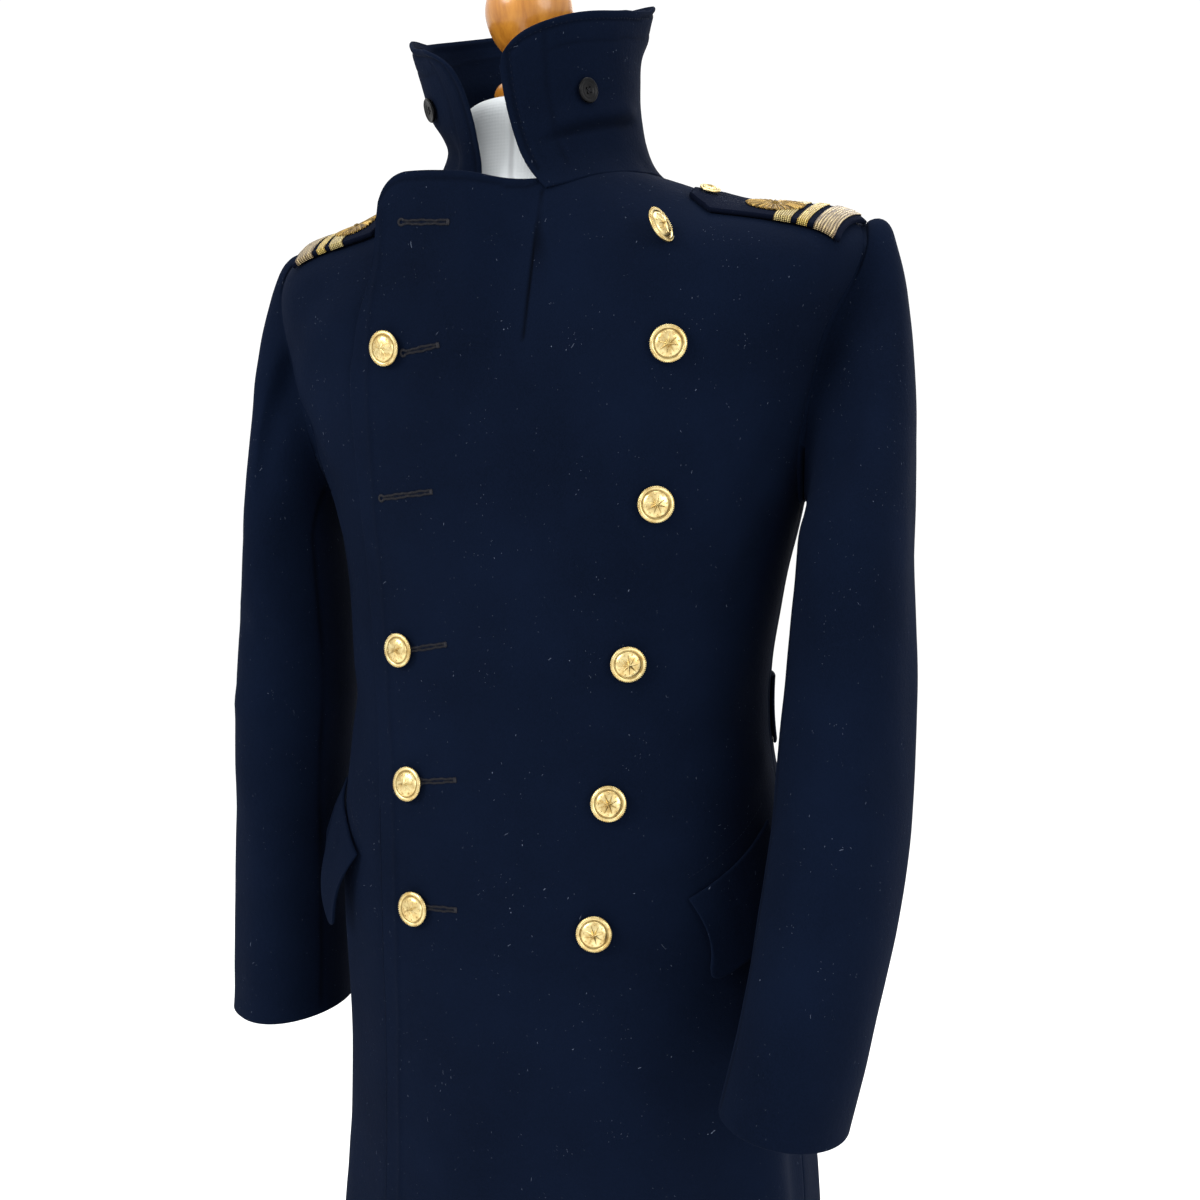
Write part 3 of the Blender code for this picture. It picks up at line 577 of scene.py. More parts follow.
# share goes round from the left end to the right end, rise from the neck seam to the top edge
def collarPoint(share, rise):
    left, right = angleAt(collarEndLeft, neckLevel), angleAt(collarEndRight, neckLevel) + 360
    sizes = tableAt(collarSizes, collarRound, share * (len(collarRound) - 1))
    degrees = left + (right - left) * share
    seam = onBody(degrees, neckLevel)
    normal = bodyNormal(degrees, neckLevel)
    if degrees < 90:
        seam = seam + normal * frontLift(degrees)
    seam.z += clothThickness / 2 * max(0.0, normal.z) + lieGap
    fromEnd = min(share, 1 - share)
    ends = 1 - ease(0.0, collarEndShare, fromEnd)
    before = onBody(degrees - 1, neckLevel) - onBody(degrees + 1, neckLevel)
    along = before.normalized() * (1 if share < 0.5 else -1)
    height = sizes["height"] * rise
    flat = Vector((normal.x, normal.y, 0)).normalized()
    point = seam + Vector((0, -collarLean * height, height))
    point += flat * (sizes["flare"] * rise**1.5 - sizes["pinch"] * math.sin(math.pi * rise))
    reach = collarPointLeft if share < 0.5 else collarPointRight
    return point + Vector((along.x, along.y, 0)) * reach * rise * ends


# the angle near the shoulder seam where the body is y from it; y is negative to the front
def shoulderAngle(y, v):
    r = ring(v)
    depth = r["front"] if y < 0 else r["back"]
    lean = math.degrees(math.asin(signedPower(min(0.99, abs(y) / depth), r["power"] / 2.0)))
    return 90 - lean if y < 0 else 90 + lean


def shoulderPlace(side, x, y):  # the angle and level of the shoulder's surface at a place seen from above
    low, high = shoulderLevel - 0.5, neckLevel - 0.05
    for _ in range(30):
        middle = (low + high) / 2
        if onBody(shoulderAngle(y, middle), middle).x > x:
            low = middle
        else:
            high = middle
    return side * shoulderAngle(y, low), low


def onShoulder(side, x, y, out):
    degrees, v = shoulderPlace(side, x, y)
    normal = bodyNormal(degrees, v)
    lift = frontLift(degrees) if side > 0 else 0.0
    return onBody(degrees, v) + normal * (lift + clothThickness / 2 + strapLie + out), normal


def slackAt(v):
    for (low, a), (high, b) in zip(torsoSlack, torsoSlack[1:]):
        if v <= high:
            return a + (b - a) * ease(low, high, v)
    return torsoSlack[-1][1]


# Building cloth from fine grids of points

clothGrid = {
    "rowStep": 0.0050,  # the panels' rows are no further apart than this
    "frontColumns": 52,
    "overlapColumns": 112,
    "underlapColumns": 30,
    "backColumns": 63,
    "sleeveColumns": 96,
    "sleeveRows": 104,
    "collarColumns": 200,
    "collarRows": 56,
}


def fineLevels(step):
    fine = []
    levels = bodyLevels()
    for low, high in zip(levels, levels[1:]):
        rise = max((onBody(a, high) - onBody(a, low)).length for a in (20, 88, 160))
        count = max(1, round(rise / step))
        fine += [low + (high - low) * k / count for k in range(count)]
    return fine + [levels[-1]]


def gridOf(rows):
    points = np.array([[tuple(p) for p, n in row] for row in rows])
    normals = np.array([[tuple(n) for p, n in row] for row in rows])
    return {"p": points, "n": normals, "seam": np.zeros(points.shape[:2])}


def smoothRun(points, count=16):  # a smooth line through a few points
    points = [tuple(p) for p in points]
    last = len(points) - 1
    at = [last * k / (count - 1) for k in range(count)]
    return np.array([[smoothBetween([p[i] for p in points], a) for i in range(3)] for a in at])


def eased(low, high, values):
    t = np.clip((values - low) / (high - low), 0, 1)
    return t * t * (3 - 2 * t)


def nearRun(places, run):
    best = np.full(len(places), 9.0)
    along = np.zeros(len(places))
    for k in range(len(run) - 1):
        a, step = run[k], run[k + 1] - run[k]
        t = np.clip((places - a) @ step / max(1e-12, step @ step), 0, 1)
        away = np.linalg.norm(places - (a + t[:, None] * step), axis=1)
        nearer = away < best
        best = np.where(nearer, away, best)
        along = np.where(nearer, (k + t) / (len(run) - 1), along)
    return best, along


def addFold(grid, points, width, depth, fade=0.3, seam=0.0, open=(False, False)):
    # depth above 0 is a soft ridge and below 0 a trough; it fades out at its free ends
    flat = grid["p"].reshape(-1, 3)
    best, along = nearRun(flat, smoothRun(points))
    ends = (1 if open[0] else eased(0.0, fade, along)) * (1 if open[1] else eased(0.0, fade, 1 - along))
    shape = np.exp(-((best / width) ** 2)) * ends
    size = grid["p"].shape[:2]
    grid["p"] = grid["p"] + grid["n"] * (depth * shape).reshape(*size, 1)
    # seam above 0 paints shade along the fold into the seam attribute
    if seam:
        grid["seam"] = np.maximum(grid["seam"], seam * shape.reshape(size))


def addWobble(grid, lots):
    # lots are (wavelength, height) pairs of slow unevenness in the cloth
    for wavelength, height in lots:
        away = Vector((wavelength * 91.0, height * 7000.0, 3.7))
        for row, normals in zip(grid["p"], grid["n"]):
            for k in range(len(row)):
                row[k] += normals[k] * height * noise.noise(Vector(row[k]) / wavelength + away)


def shell(name, grid, thickness, finish, tube=False, noseShare=1.0):
    # a closed wall of cloth round its middle surface, with a rounded turned edge
    p, n = grid["p"].copy(), grid["n"] / np.linalg.norm(grid["n"], axis=2)[:, :, None]
    rows, cols = p.shape[:2]
    half = thickness / 2
    nose = half * noseShare
    edgeOut = np.zeros_like(p)
    edgeOut[0] += p[0] - p[1]
    edgeOut[-1] += p[-1] - p[-2]
    if not tube:
        edgeOut[:, 0] += p[:, 0] - p[:, 1]
        edgeOut[:, -1] += p[:, -1] - p[:, -2]
    length = np.linalg.norm(edgeOut, axis=2)[:, :, None]
    edgeOut = np.where(length > 0, edgeOut / np.maximum(length, 1e-12), 0)
    rim = p.copy()
    p = p - edgeOut * nose
    verts = [(p + n * half).reshape(-1, 3), (p - n * half).reshape(-1, 3)]
    seam = [grid["seam"].reshape(-1)] * 2
    count = rows * cols

    def at(r, c):
        return r * cols + (c % cols if tube else c)

    faces = []
    last = cols if tube else cols - 1
    for r in range(rows - 1):
        for c in range(last):
            a, b, d, e = at(r, c), at(r, c + 1), at(r + 1, c + 1), at(r + 1, c)
            faces.append((a, b, d, e))
            faces.append((count + b, count + a, count + e, count + d))
    if tube:
        loops = [[(0, c) for c in range(cols)], [(rows - 1, c) for c in range(cols)]]
    else:
        around = [(0, c) for c in range(cols)] + [(r, cols - 1) for r in range(1, rows)]
        around += [(rows - 1, c) for c in range(cols - 2, -1, -1)] + [(r, 0) for r in range(rows - 2, 0, -1)]
        loops = [around]
    total = 2 * count
    for loop in loops:
        middle = np.array([rim[r, c] - edgeOut[r, c] * nose for r, c in loop])
        out = np.array([edgeOut[r, c] for r, c in loop])
        up = np.array([n[r, c] for r, c in loop])
        bands = [[at(r, c) for r, c in loop]]
        for degrees in (50, 0, -50):
            a = math.radians(degrees)
            verts.append(middle + out * nose * math.cos(a) + up * half * math.sin(a))
            seam.append(np.array([grid["seam"][r, c] for r, c in loop]))
            bands.append([total + k for k in range(len(loop))])
            total += len(loop)
        bands.append([count + at(r, c) for r, c in loop])
        for low, high in zip(bands, bands[1:]):
            for k in range(len(loop)):
                j = (k + 1) % len(loop)
                faces.append((low[k], low[j], high[j], high[k]))
    mesh = bpy.data.meshes.new(name)
    mesh.from_pydata(np.concatenate(verts).tolist(), [], faces)
    # the seam attribute carries painted shade along seams, folds and creases
    paintedShadeAttribute = mesh.attributes.new("seam", "FLOAT", "POINT")
    paintedShadeAttribute.data.foreach_set("value", np.concatenate(seam).astype(np.float32))
    bm = bmesh.new()
    bm.from_mesh(mesh)
    bmesh.ops.recalc_face_normals(bm, faces=bm.faces)
    bm.to_mesh(mesh)
    bm.free()
    mesh.shade_smooth()
    mesh.materials.append(finish)
    piece = bpy.data.objects.new(name, mesh)
    bpy.context.scene.collection.objects.link(piece)
    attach(piece, "root")
    return piece


def onGrid(grid, row, column, out):  # a place on the finished cloth, out from its middle
    rows, cols = grid["p"].shape[:2]
    r, c = max(0, min(int(row), rows - 2)), max(0, min(int(column), cols - 2))
    up, right = row - r, column - c
    mixed = []
    for values in (grid["p"], grid["n"]):
        low = values[r, c] * (1 - right) + values[r, c + 1] * right
        high = values[r + 1, c] * (1 - right) + values[r + 1, c + 1] * right
        mixed.append(Vector(low * (1 - up) + high * up))
    normal = mixed[1].normalized()
    return mixed[0] + normal * out, normal


def bodyPlace(degrees, height):  # the body's point at an angle and a height
    low, high = 0.0, float(neckLevel)
    for step in range(30):
        middle = (low + high) / 2
        if onBody(degrees, middle).z < height:
            low = middle
        else:
            high = middle
    return onBody(degrees, low)


def frontPlace(x, height):  # the outer front's point, x from the middle plane
    level = levelOf(height, x)
    point, direction = leftAt(x, level)
    for step in range(4):
        level += (height - point.z) * 2.0 / max(0.15, (leftAt(x, min(10, level + 1))[0].z - leftAt(x, max(0,
                level - 1))[0].z))
        level = max(0.0, min(10.0, level))
        point, direction = leftAt(x, level)
    return point


# Finishes

def meltonFinish(name, base, shade, nap, lint):
    # Heavy wool melton, milled and cropped: a matt felted face, with a faint bloom at grazing
    # angles, pale lint and short loose fibres, and painted shade down in the seams, folds and creases.
    made, tree, shader = newMaterial(name)
    place = addNode(tree, "ShaderNodeTexCoord").outputs["Object"]
    cloudy = addNode(tree, "ShaderNodeTexNoise", {"Vector": place}, Scale=9.0, Detail=4.0, Roughness=0.6)
    # felt grain 1.1 mm apart
    felt = addNode(tree, "ShaderNodeTexNoise", {"Vector": place}, Scale=900.0, Detail=3.0, Roughness=0.7)
    weave = addNode(tree, "ShaderNodeTexNoise", {"Vector": place}, Scale=260.0, Detail=2.0)  # 4 mm unevenness
    spread = addNode(tree, "ShaderNodeValToRGB", {"Fac": felt.outputs[0]})
    spread.color_ramp.elements[0].position, spread.color_ramp.elements[1].position = 0.30, 0.74
    spread.color_ramp.elements[0].color, spread.color_ramp.elements[1].color = linear(shade), linear(base)
    bloom = addNode(tree, "ShaderNodeMix", {0: cloudy.outputs[0]}, data_type="RGBA")
    tree.links.new(spread.outputs[0], bloom.inputs[6])
    bloom.inputs[7].default_value = linear(nap)
    # specks 4 mm apart
    specks = addNode(tree, "ShaderNodeTexVoronoi", {"Vector": place}, Scale=230.0, Randomness=1.0)
    rare = addNode(tree, "ShaderNodeTexNoise", {"Vector": place}, Scale=61.0, Detail=1.0)
    close = addNode(tree, "ShaderNodeMath", {0: specks.outputs["Distance"]}, operation="LESS_THAN", in1=0.050)
    chosen = addNode(tree, "ShaderNodeMath", {0: rare.outputs[0]}, operation="GREATER_THAN", in1=0.54)
    speck = addNode(tree, "ShaderNodeMath", {0: close.outputs[0], 1: chosen.outputs[0]}, operation="MULTIPLY")
    bent = addNode(tree, "ShaderNodeTexNoise", {"Vector": place}, Scale=34.0, Detail=1.0)
    bend = addNode(tree, "ShaderNodeVectorMath", {0: bent.outputs["Color"], 2: place},
                   operation="MULTIPLY_ADD")
    bend.inputs[1].default_value = (0.05, 0.05, 0.05)
    stretch = addNode(tree, "ShaderNodeMapping", {"Vector": bend.outputs[0]})
    stretch.inputs["Rotation"].default_value = (0.3, 0.9, 0.5)
    stretch.inputs["Scale"].default_value = (330.0, 330.0, 46.0)
    hairs = addNode(tree, "ShaderNodeTexVoronoi", {"Vector": stretch.outputs[0]}, Scale=1.0, Randomness=1.0)
    thin = addNode(tree, "ShaderNodeMath", {0: hairs.outputs["Distance"]}, operation="LESS_THAN", in1=0.065)
    few = addNode(tree, "ShaderNodeTexNoise", {"Vector": place}, Scale=47.0, Detail=0.0)
    fewer = addNode(tree, "ShaderNodeMath", {0: few.outputs[0]}, operation="GREATER_THAN", in1=0.55)
    hair = addNode(tree, "ShaderNodeMath", {0: thin.outputs[0], 1: fewer.outputs[0]}, operation="MULTIPLY")
    loose = addNode(tree, "ShaderNodeMath", {0: speck.outputs[0], 1: hair.outputs[0]}, operation="MAXIMUM")
    looseShare = addNode(tree, "ShaderNodeMath", {0: loose.outputs[0]}, operation="MULTIPLY", in1=lint)
    withLint = addNode(tree, "ShaderNodeMix", {0: looseShare.outputs[0]}, data_type="RGBA")
    tree.links.new(bloom.outputs[2], withLint.inputs[6])
    withLint.inputs[7].default_value = linear("#6C7689")
    # painted shade: the seam attribute darkens the cloth towards near black along seams, folds and creases
    seam = addNode(tree, "ShaderNodeAttribute", attribute_name="seam")
    paintedSeamShade = addNode(tree, "ShaderNodeMix", {0: seam.outputs["Fac"]}, data_type="RGBA")
    tree.links.new(withLint.outputs[2], paintedSeamShade.inputs[6])
    paintedSeamShade.inputs[7].default_value = linear("#020306")
    tree.links.new(paintedSeamShade.outputs[2], shader.inputs["Base Color"])
    shader.inputs["Roughness"].default_value = 0.94
    shader.inputs["Specular IOR Level"].default_value = 0.02
    shader.inputs["Sheen Weight"].default_value = 0.035
    shader.inputs["Sheen Roughness"].default_value = 0.55
    shader.inputs["Sheen Tint"].default_value = linear("#5A6E9C")
    rough = addNode(tree, "ShaderNodeBump", {"Height": felt.outputs[0]}, Strength=0.45, Distance=0.0005)
    soft = addNode(tree, "ShaderNodeBump", {"Height": weave.outputs[0], "Normal": rough.outputs[0]},
                   Strength=0.35, Distance=0.0010)
    tree.links.new(soft.outputs[0], shader.inputs["Normal"])
    return made


def threadFinish(name, colour, light):
    # Buttonhole twist, a silk or cotton thread with a low gloss along each strand.
    made, tree, shader = newMaterial(name)
    place = addNode(tree, "ShaderNodeTexCoord").outputs["Object"]
    strands = addNode(tree, "ShaderNodeTexNoise", {"Vector": place}, Scale=1400.0, Detail=1.0)  # 0.7 mm
    tones = addNode(tree, "ShaderNodeValToRGB", {"Fac": strands.outputs[0]})
    tones.color_ramp.elements[0].color, tones.color_ramp.elements[1].color = linear(colour), linear(light)
    tree.links.new(tones.outputs[0], shader.inputs["Base Color"])
    shader.inputs["Roughness"].default_value = 0.6
    shader.inputs["Specular IOR Level"].default_value = 0.08
    return made


def giltFinish(name, high, low, roughness):
    # Gilt brass, stamped and fire-gilded: a warm pale gold, brighter where it has been handled
    # and darker brown down in the stamping's hollows, where ambient occlusion finds them.
    made, tree, shader = newMaterial(name)
    place = addNode(tree, "ShaderNodeTexCoord").outputs["Object"]
    # worn patches about 6 mm across
    wear = addNode(tree, "ShaderNodeTexNoise", {"Vector": place}, Scale=160.0, Detail=4.0, Roughness=0.65)
    fine = addNode(tree, "ShaderNodeTexNoise", {"Vector": place}, Scale=2600.0, Detail=2.0)  # 0.4 mm stipple
    tones = addNode(tree, "ShaderNodeValToRGB", {"Fac": wear.outputs[0]})
    tones.color_ramp.elements[0].position, tones.color_ramp.elements[1].position = 0.35, 0.62
    tones.color_ramp.elements[0].color, tones.color_ramp.elements[1].color = linear(low), linear(high)
    # darker brown in the stamping's hollows, by ambient occlusion
    hollow = addNode(tree, "ShaderNodeAmbientOcclusion", Distance=0.0016, samples=8)
    hollowDarkening = addNode(tree, "ShaderNodeMix", {0: hollow.outputs["AO"]}, data_type="RGBA")
    hollowDarkening.inputs[6].default_value = linear("#2E2009")
    tree.links.new(tones.outputs[0], hollowDarkening.inputs[7])
    tree.links.new(hollowDarkening.outputs[2], shader.inputs["Base Color"])
    gloss = addNode(tree, "ShaderNodeMapRange", {"Value": wear.outputs[0]})
    gloss.inputs["To Min"].default_value = roughness + 0.08
    gloss.inputs["To Max"].default_value = roughness - 0.04
    tree.links.new(gloss.outputs[0], shader.inputs["Roughness"])
    shader.inputs["Metallic"].default_value = 1.0
    bump = addNode(tree, "ShaderNodeBump", {"Height": fine.outputs[0]}, Strength=0.25, Distance=0.0001)
    tree.links.new(bump.outputs[0], shader.inputs["Normal"])
    return made


def laceFinish(name, bright, dull, tarnish, lines):
    # Woven metal-wire lace: fine ribs of gilt or silvered thread along the band, worn and
    # tarnished unevenly, so some ribs are brighter than others.
    made, tree, shader = newMaterial(name)
    way = addNode(tree, "ShaderNodeUVMap", uv_map="lace").outputs[0]
    ribs = addNode(tree, "ShaderNodeSeparateXYZ", {"Vector": way})
    ribWave = addNode(tree, "ShaderNodeMath", {0: ribs.outputs["X"]}, operation="MULTIPLY",
                      in1=2 * math.pi * lines)
    ribHeight = addNode(tree, "ShaderNodeMath", {0: ribWave.outputs[0]}, operation="SINE")
    wire = addNode(tree, "ShaderNodeMath", {0: ribs.outputs["Y"]}, operation="MULTIPLY",
                   in1=2 * math.pi / 0.0011)
    wireHeight = addNode(tree, "ShaderNodeMath", {0: wire.outputs[0]}, operation="SINE")
    both = addNode(tree, "ShaderNodeMath", {0: wireHeight.outputs[0], 2: ribHeight.outputs[0]},
                   operation="MULTIPLY_ADD", in1=0.45)
    stretch = addNode(tree, "ShaderNodeMapping", {"Vector": way})
    stretch.inputs["Scale"].default_value = (lines * 1.3, 45.0, 1.0)
    uneven = addNode(tree, "ShaderNodeTexNoise", {"Vector": stretch.outputs[0]}, Scale=1.0, Detail=3.0)
    tones = addNode(tree, "ShaderNodeValToRGB", {"Fac": uneven.outputs[0]})
    tones.color_ramp.elements[0].position, tones.color_ramp.elements[1].position = 0.36, 0.60
    tones.color_ramp.elements[0].color, tones.color_ramp.elements[1].color = linear(dull), linear(bright)
    middle = tones.color_ramp.elements.new(0.42)
    middle.color = linear(tarnish)
    valley = addNode(tree, "ShaderNodeMapRange", {"Value": both.outputs[0]})
    valley.inputs["From Min"].default_value = -1.3
    shade = addNode(tree, "ShaderNodeMix", {0: valley.outputs[0]}, data_type="RGBA")
    shade.inputs[6].default_value = linear("#3A2E1A")
    tree.links.new(tones.outputs[0], shade.inputs[7])
    tree.links.new(shade.outputs[2], shader.inputs["Base Color"])
    shader.inputs["Metallic"].default_value = 0.75
    shader.inputs["Roughness"].default_value = 0.42
    bump = addNode(tree, "ShaderNodeBump", {"Height": both.outputs[0]}, Strength=0.9, Distance=0.0003)
    tree.links.new(bump.outputs[0], shader.inputs["Normal"])
    return made


def hornFinish(name):
    # Black horn or moulded horn substitute: nearly black and polished, with faint scuffs.
    made, tree, shader = newMaterial(name)
    place = addNode(tree, "ShaderNodeTexCoord").outputs["Object"]
    scuffs = addNode(tree, "ShaderNodeTexNoise", {"Vector": place}, Scale=420.0, Detail=4.0)
    tones = addNode(tree, "ShaderNodeValToRGB", {"Fac": scuffs.outputs[0]})
    tones.color_ramp.elements[0].color = linear("#030304")
    tones.color_ramp.elements[1].color = linear("#0F1013")
    tree.links.new(tones.outputs[0], shader.inputs["Base Color"])
    shader.inputs["Roughness"].default_value = 0.32
    shader.inputs["Specular IOR Level"].default_value = 0.12
    return made


def canvasFinish(name):
    # White dress-form canvas, a plain weave of cotton drawn 1.2 mm apart so that it shows.
    made, tree, shader = newMaterial(name)
    place = addNode(tree, "ShaderNodeTexCoord").outputs["Object"]
    warp = addNode(tree, "ShaderNodeTexWave", {"Vector": place}, bands_direction="Z", Scale=130.0,
                   Distortion=0.6, Detail=1.0)
    weft = addNode(tree, "ShaderNodeTexWave", {"Vector": place}, bands_direction="X", Scale=130.0,
                   Distortion=0.6, Detail=1.0)
    cross = addNode(tree, "ShaderNodeMath", {0: warp.outputs["Fac"], 1: weft.outputs["Fac"]}, operation="ADD")
    dust = addNode(tree, "ShaderNodeTexNoise", {"Vector": place}, Scale=14.0, Detail=4.0)
    tones = addNode(tree, "ShaderNodeValToRGB", {"Fac": dust.outputs[0]})
    tones.color_ramp.elements[0].color = linear("#CDD3D6")
    tones.color_ramp.elements[1].color = linear("#DFE3E5")
    # painted shade: the seam attribute darkens the canvas along the cover's seam
    seam = addNode(tree, "ShaderNodeAttribute", attribute_name="seam")
    paintedSeamShade = addNode(tree, "ShaderNodeMix", {0: seam.outputs["Fac"]}, data_type="RGBA")
    tree.links.new(tones.outputs[0], paintedSeamShade.inputs[6])
    paintedSeamShade.inputs[7].default_value = linear("#8E8F93")
    tree.links.new(paintedSeamShade.outputs[2], shader.inputs["Base Color"])
    shader.inputs["Roughness"].default_value = 0.9
    bump = addNode(tree, "ShaderNodeBump", {"Height": cross.outputs[0]}, Strength=0.25, Distance=0.0002)
    tree.links.new(bump.outputs[0], shader.inputs["Normal"])
    return made


def varnishFinish(name, pale, dark, gloss):
    # Turned beech under honey shellac varnish: long soft grain up the turning and a clear gloss.
    made, tree, shader = newMaterial(name)
    place = addNode(tree, "ShaderNodeTexCoord").outputs["Object"]
    stretch = addNode(tree, "ShaderNodeMapping", {"Vector": place})
    stretch.inputs["Scale"].default_value = (60.0, 60.0, 7.0)
    grain = addNode(tree, "ShaderNodeTexNoise", {"Vector": stretch.outputs[0]}, Scale=1.6, Detail=6.0,
                    Roughness=0.6, Distortion=0.6)
    fleck = addNode(tree, "ShaderNodeTexNoise", {"Vector": stretch.outputs[0]}, Scale=9.0, Detail=2.0)
    tones = addNode(tree, "ShaderNodeValToRGB", {"Fac": grain.outputs[0]})
    tones.color_ramp.elements[0].position, tones.color_ramp.elements[1].position = 0.30, 0.66
    tones.color_ramp.elements[0].color, tones.color_ramp.elements[1].color = linear(dark), linear(pale)
    fleckShade = addNode(tree, "ShaderNodeMix", {0: fleck.outputs[0], 6: tones.outputs[0]},
                         data_type="RGBA", blend_type="MULTIPLY")
    fleckShade.inputs[7].default_value = linear("#E9D9C4")
    tree.links.new(fleckShade.outputs[2], shader.inputs["Base Color"])
    shader.inputs["Roughness"].default_value = gloss
    shader.inputs["Coat Weight"].default_value = 0.3
    shader.inputs["Coat Roughness"].default_value = 0.12
    return made


melton = meltonFinish("navy wool melton", "#080E1D", "#02050C", "#0A1325", 0.50)
strapMelton = meltonFinish("navy strap cloth", "#070B18", "#04060D", "#0A0F1E", 0.45)
darkThread = threadFinish("charcoal buttonhole twist", "#0E0E11", "#313136")
navyThread = threadFinish("navy sewing thread", "#060A14", "#121A2C")
gilt = giltFinish("gilt brass", "#EBD9A0", "#C2A467", 0.30)
goldWire = laceFinish("gold wire embroidery", "#C7A559", "#6E531F", "#94743A", 420.0)
goldLace = laceFinish("gilt wire lace", "#E9D27C", "#A8873A", "#C4A552", 700.0)
paleLace = laceFinish("pale gilt wire lace", "#DCCB8C", "#8F7B4E", "#B9A367", 640.0)
silverLace = laceFinish("tarnished silver gilt lace", "#C9B588", "#5E5048", "#8F7C62", 520.0)
horn = hornFinish("black horn")
canvas = canvasFinish("white cotton canvas")
varnish = varnishFinish("honey varnished beech", "#C98A2F", "#A86A1E", 0.32)
print("stage: finishes")


# Coat panels

print("stage: panels")
levels = fineLevels(clothGrid["rowStep"])
step = {"overlap": clothGrid["overlapColumns"], "under": clothGrid["underlapColumns"],
        "front": clothGrid["frontColumns"], "back": clothGrid["backColumns"]}


def frontLeftGrid():
    rows = []
    for v in levels:
        edge = -ring(v)["edge"]
        row = [leftAt(edge + (collarEndLeft - edge) * k / step["overlap"], v) for k in range(step["overlap"])]
        start, side = angleAt(collarEndLeft, v), frontSide(1, v)
        row += [leftAtAngle(start + (side - start) * k / step["front"], v) for k in range(step["front"] + 1)]
        rows.append(row)
    return gridOf(rows)


def frontRightGrid():
    rows = []
    for v in levels:
        side, start = -frontSide(-1, v), angleAt(collarEndRight, v)
        row = [rightAtAngle(side + (start - side) * k / step["front"], v) for k in range(step["front"])]
        for k in range(step["under"] - 1):
            x = collarEndRight + (underlapReach - collarEndRight) * k / (step["under"] - 2)
            lower = underlapLevel(x, v)
            row.append(rightAtAngle(angleAt(x, lower), lower))
        rows.append(row)
    return gridOf(rows)


def backGrid(side):
    rows = []
    for v in levels:
        start, end = backSide(v), 180.0
        turns = [side * (start + (end - start) * k / step["back"]) for k in range(step["back"] + 1)]
        rows.append([(onBody(a, v), bodyNormal(a, v)) for a in turns])
    return gridOf(rows)


# Soft folds of the body: (angle, height) points, width and depth in metres
bodyFolds = [
    ([(-52, 1.345), (-38, 1.375), (-20, 1.405), (-6, 1.425)], 0.020, -0.0032),  # drag from the lapel
    ([(-58, 1.300), (-42, 1.335), (-22, 1.370)], 0.016, 0.0020),
    ([(66, 1.290), (60, 1.250), (50, 1.205)], 0.014, -0.0026),  # in front of the left armhole
    ([(72, 1.235), (64, 1.190), (55, 1.120)], 0.016, -0.0030),
    ([(60, 1.330), (56, 1.285), (49, 1.225)], 0.018, 0.0018),
    ([(-66, 1.300), (-60, 1.255), (-52, 1.200)], 0.014, -0.0028),
    ([(-74, 1.240), (-66, 1.180), (-58, 1.120)], 0.016, -0.0026),
    ([(30, 1.215), (34, 1.140), (40, 1.075)], 0.030, -0.0026),  # shaping over the left chest
    ([(18, 1.350), (24, 1.290), (28, 1.220)], 0.028, 0.0022),
    ([(84, 1.085), (60, 1.060), (36, 1.050)], 0.018, -0.0024),  # across the waist
    ([(-84, 1.080), (-60, 1.058), (-40, 1.062)], 0.018, -0.0024),
    ([(88, 1.045), (70, 1.020), (52, 1.015)], 0.014, 0.0018),
    ([(62, 1.000), (64, 0.800), (60, 0.560), (62, 0.350)], 0.030, 0.0050),  # skirt, wearer's left
    ([(44, 0.960), (46, 0.760), (45, 0.520), (43, 0.350)], 0.026, -0.0045),
    ([(78, 0.930), (80, 0.700), (76, 0.480), (78, 0.350)], 0.026, -0.0055),
    ([(20, 0.900), (21, 0.680), (24, 0.350)], 0.030, 0.0026),
    ([(-60, 0.990), (-64, 0.780), (-62, 0.540), (-66, 0.350)], 0.028, 0.0050),  # skirt, wearer's right
    ([(-80, 0.940), (-78, 0.700), (-80, 0.350)], 0.026, -0.0055),
    ([(112, 0.980), (110, 0.760), (114, 0.540), (112, 0.350)], 0.030, 0.0060),  # skirt, back
    ([(132, 0.960), (134, 0.700), (130, 0.480), (132, 0.350)], 0.028, -0.0065),
    ([(152, 0.970), (150, 0.740), (153, 0.520), (151, 0.350)], 0.026, 0.0050),
    ([(-110, 0.975), (-113, 0.760), (-109, 0.540), (-111, 0.350)], 0.030, 0.0058),
    ([(-133, 0.960), (-130, 0.700), (-134, 0.350)], 0.028, -0.0062),
    ([(-153, 0.965), (-155, 0.740), (-151, 0.350)], 0.026, 0.0052),
    ([(116, 1.345), (132, 1.330), (150, 1.338)], 0.016, -0.0024),  # across the shoulder blades
    ([(-114, 1.340), (-130, 1.322), (-152, 1.330)], 0.016, -0.0026),
    ([(112, 1.235), (124, 1.200), (140, 1.150)], 0.018, -0.0028),
    ([(-112, 1.240), (-126, 1.195), (-142, 1.150)], 0.018, -0.0026),
    ([(128, 1.100), (146, 1.092), (162, 1.098)], 0.014, 0.0020),
    ([(-126, 1.104), (-144, 1.092), (-160, 1.097)], 0.014, 0.0022),
    ([(176, 1.420), (176, 1.330), (177, 1.250)], 0.030, -0.0016),
    ([(100, 1.050), (118, 1.030), (136, 1.040)], 0.015, -0.0022),
    ([(-101, 1.050), (-119, 1.034), (-137, 1.040)], 0.015, -0.0022),
]
openFolds = 0.360  # a fold that reaches below this height runs out open at the hem


def foldBody(grid):
    for path, width, depth in bodyFolds:
        points = [bodyPlace(a, z) for a, z in path]
        addFold(grid, points, width, depth, open=(False, path[-1][1] < openFolds))


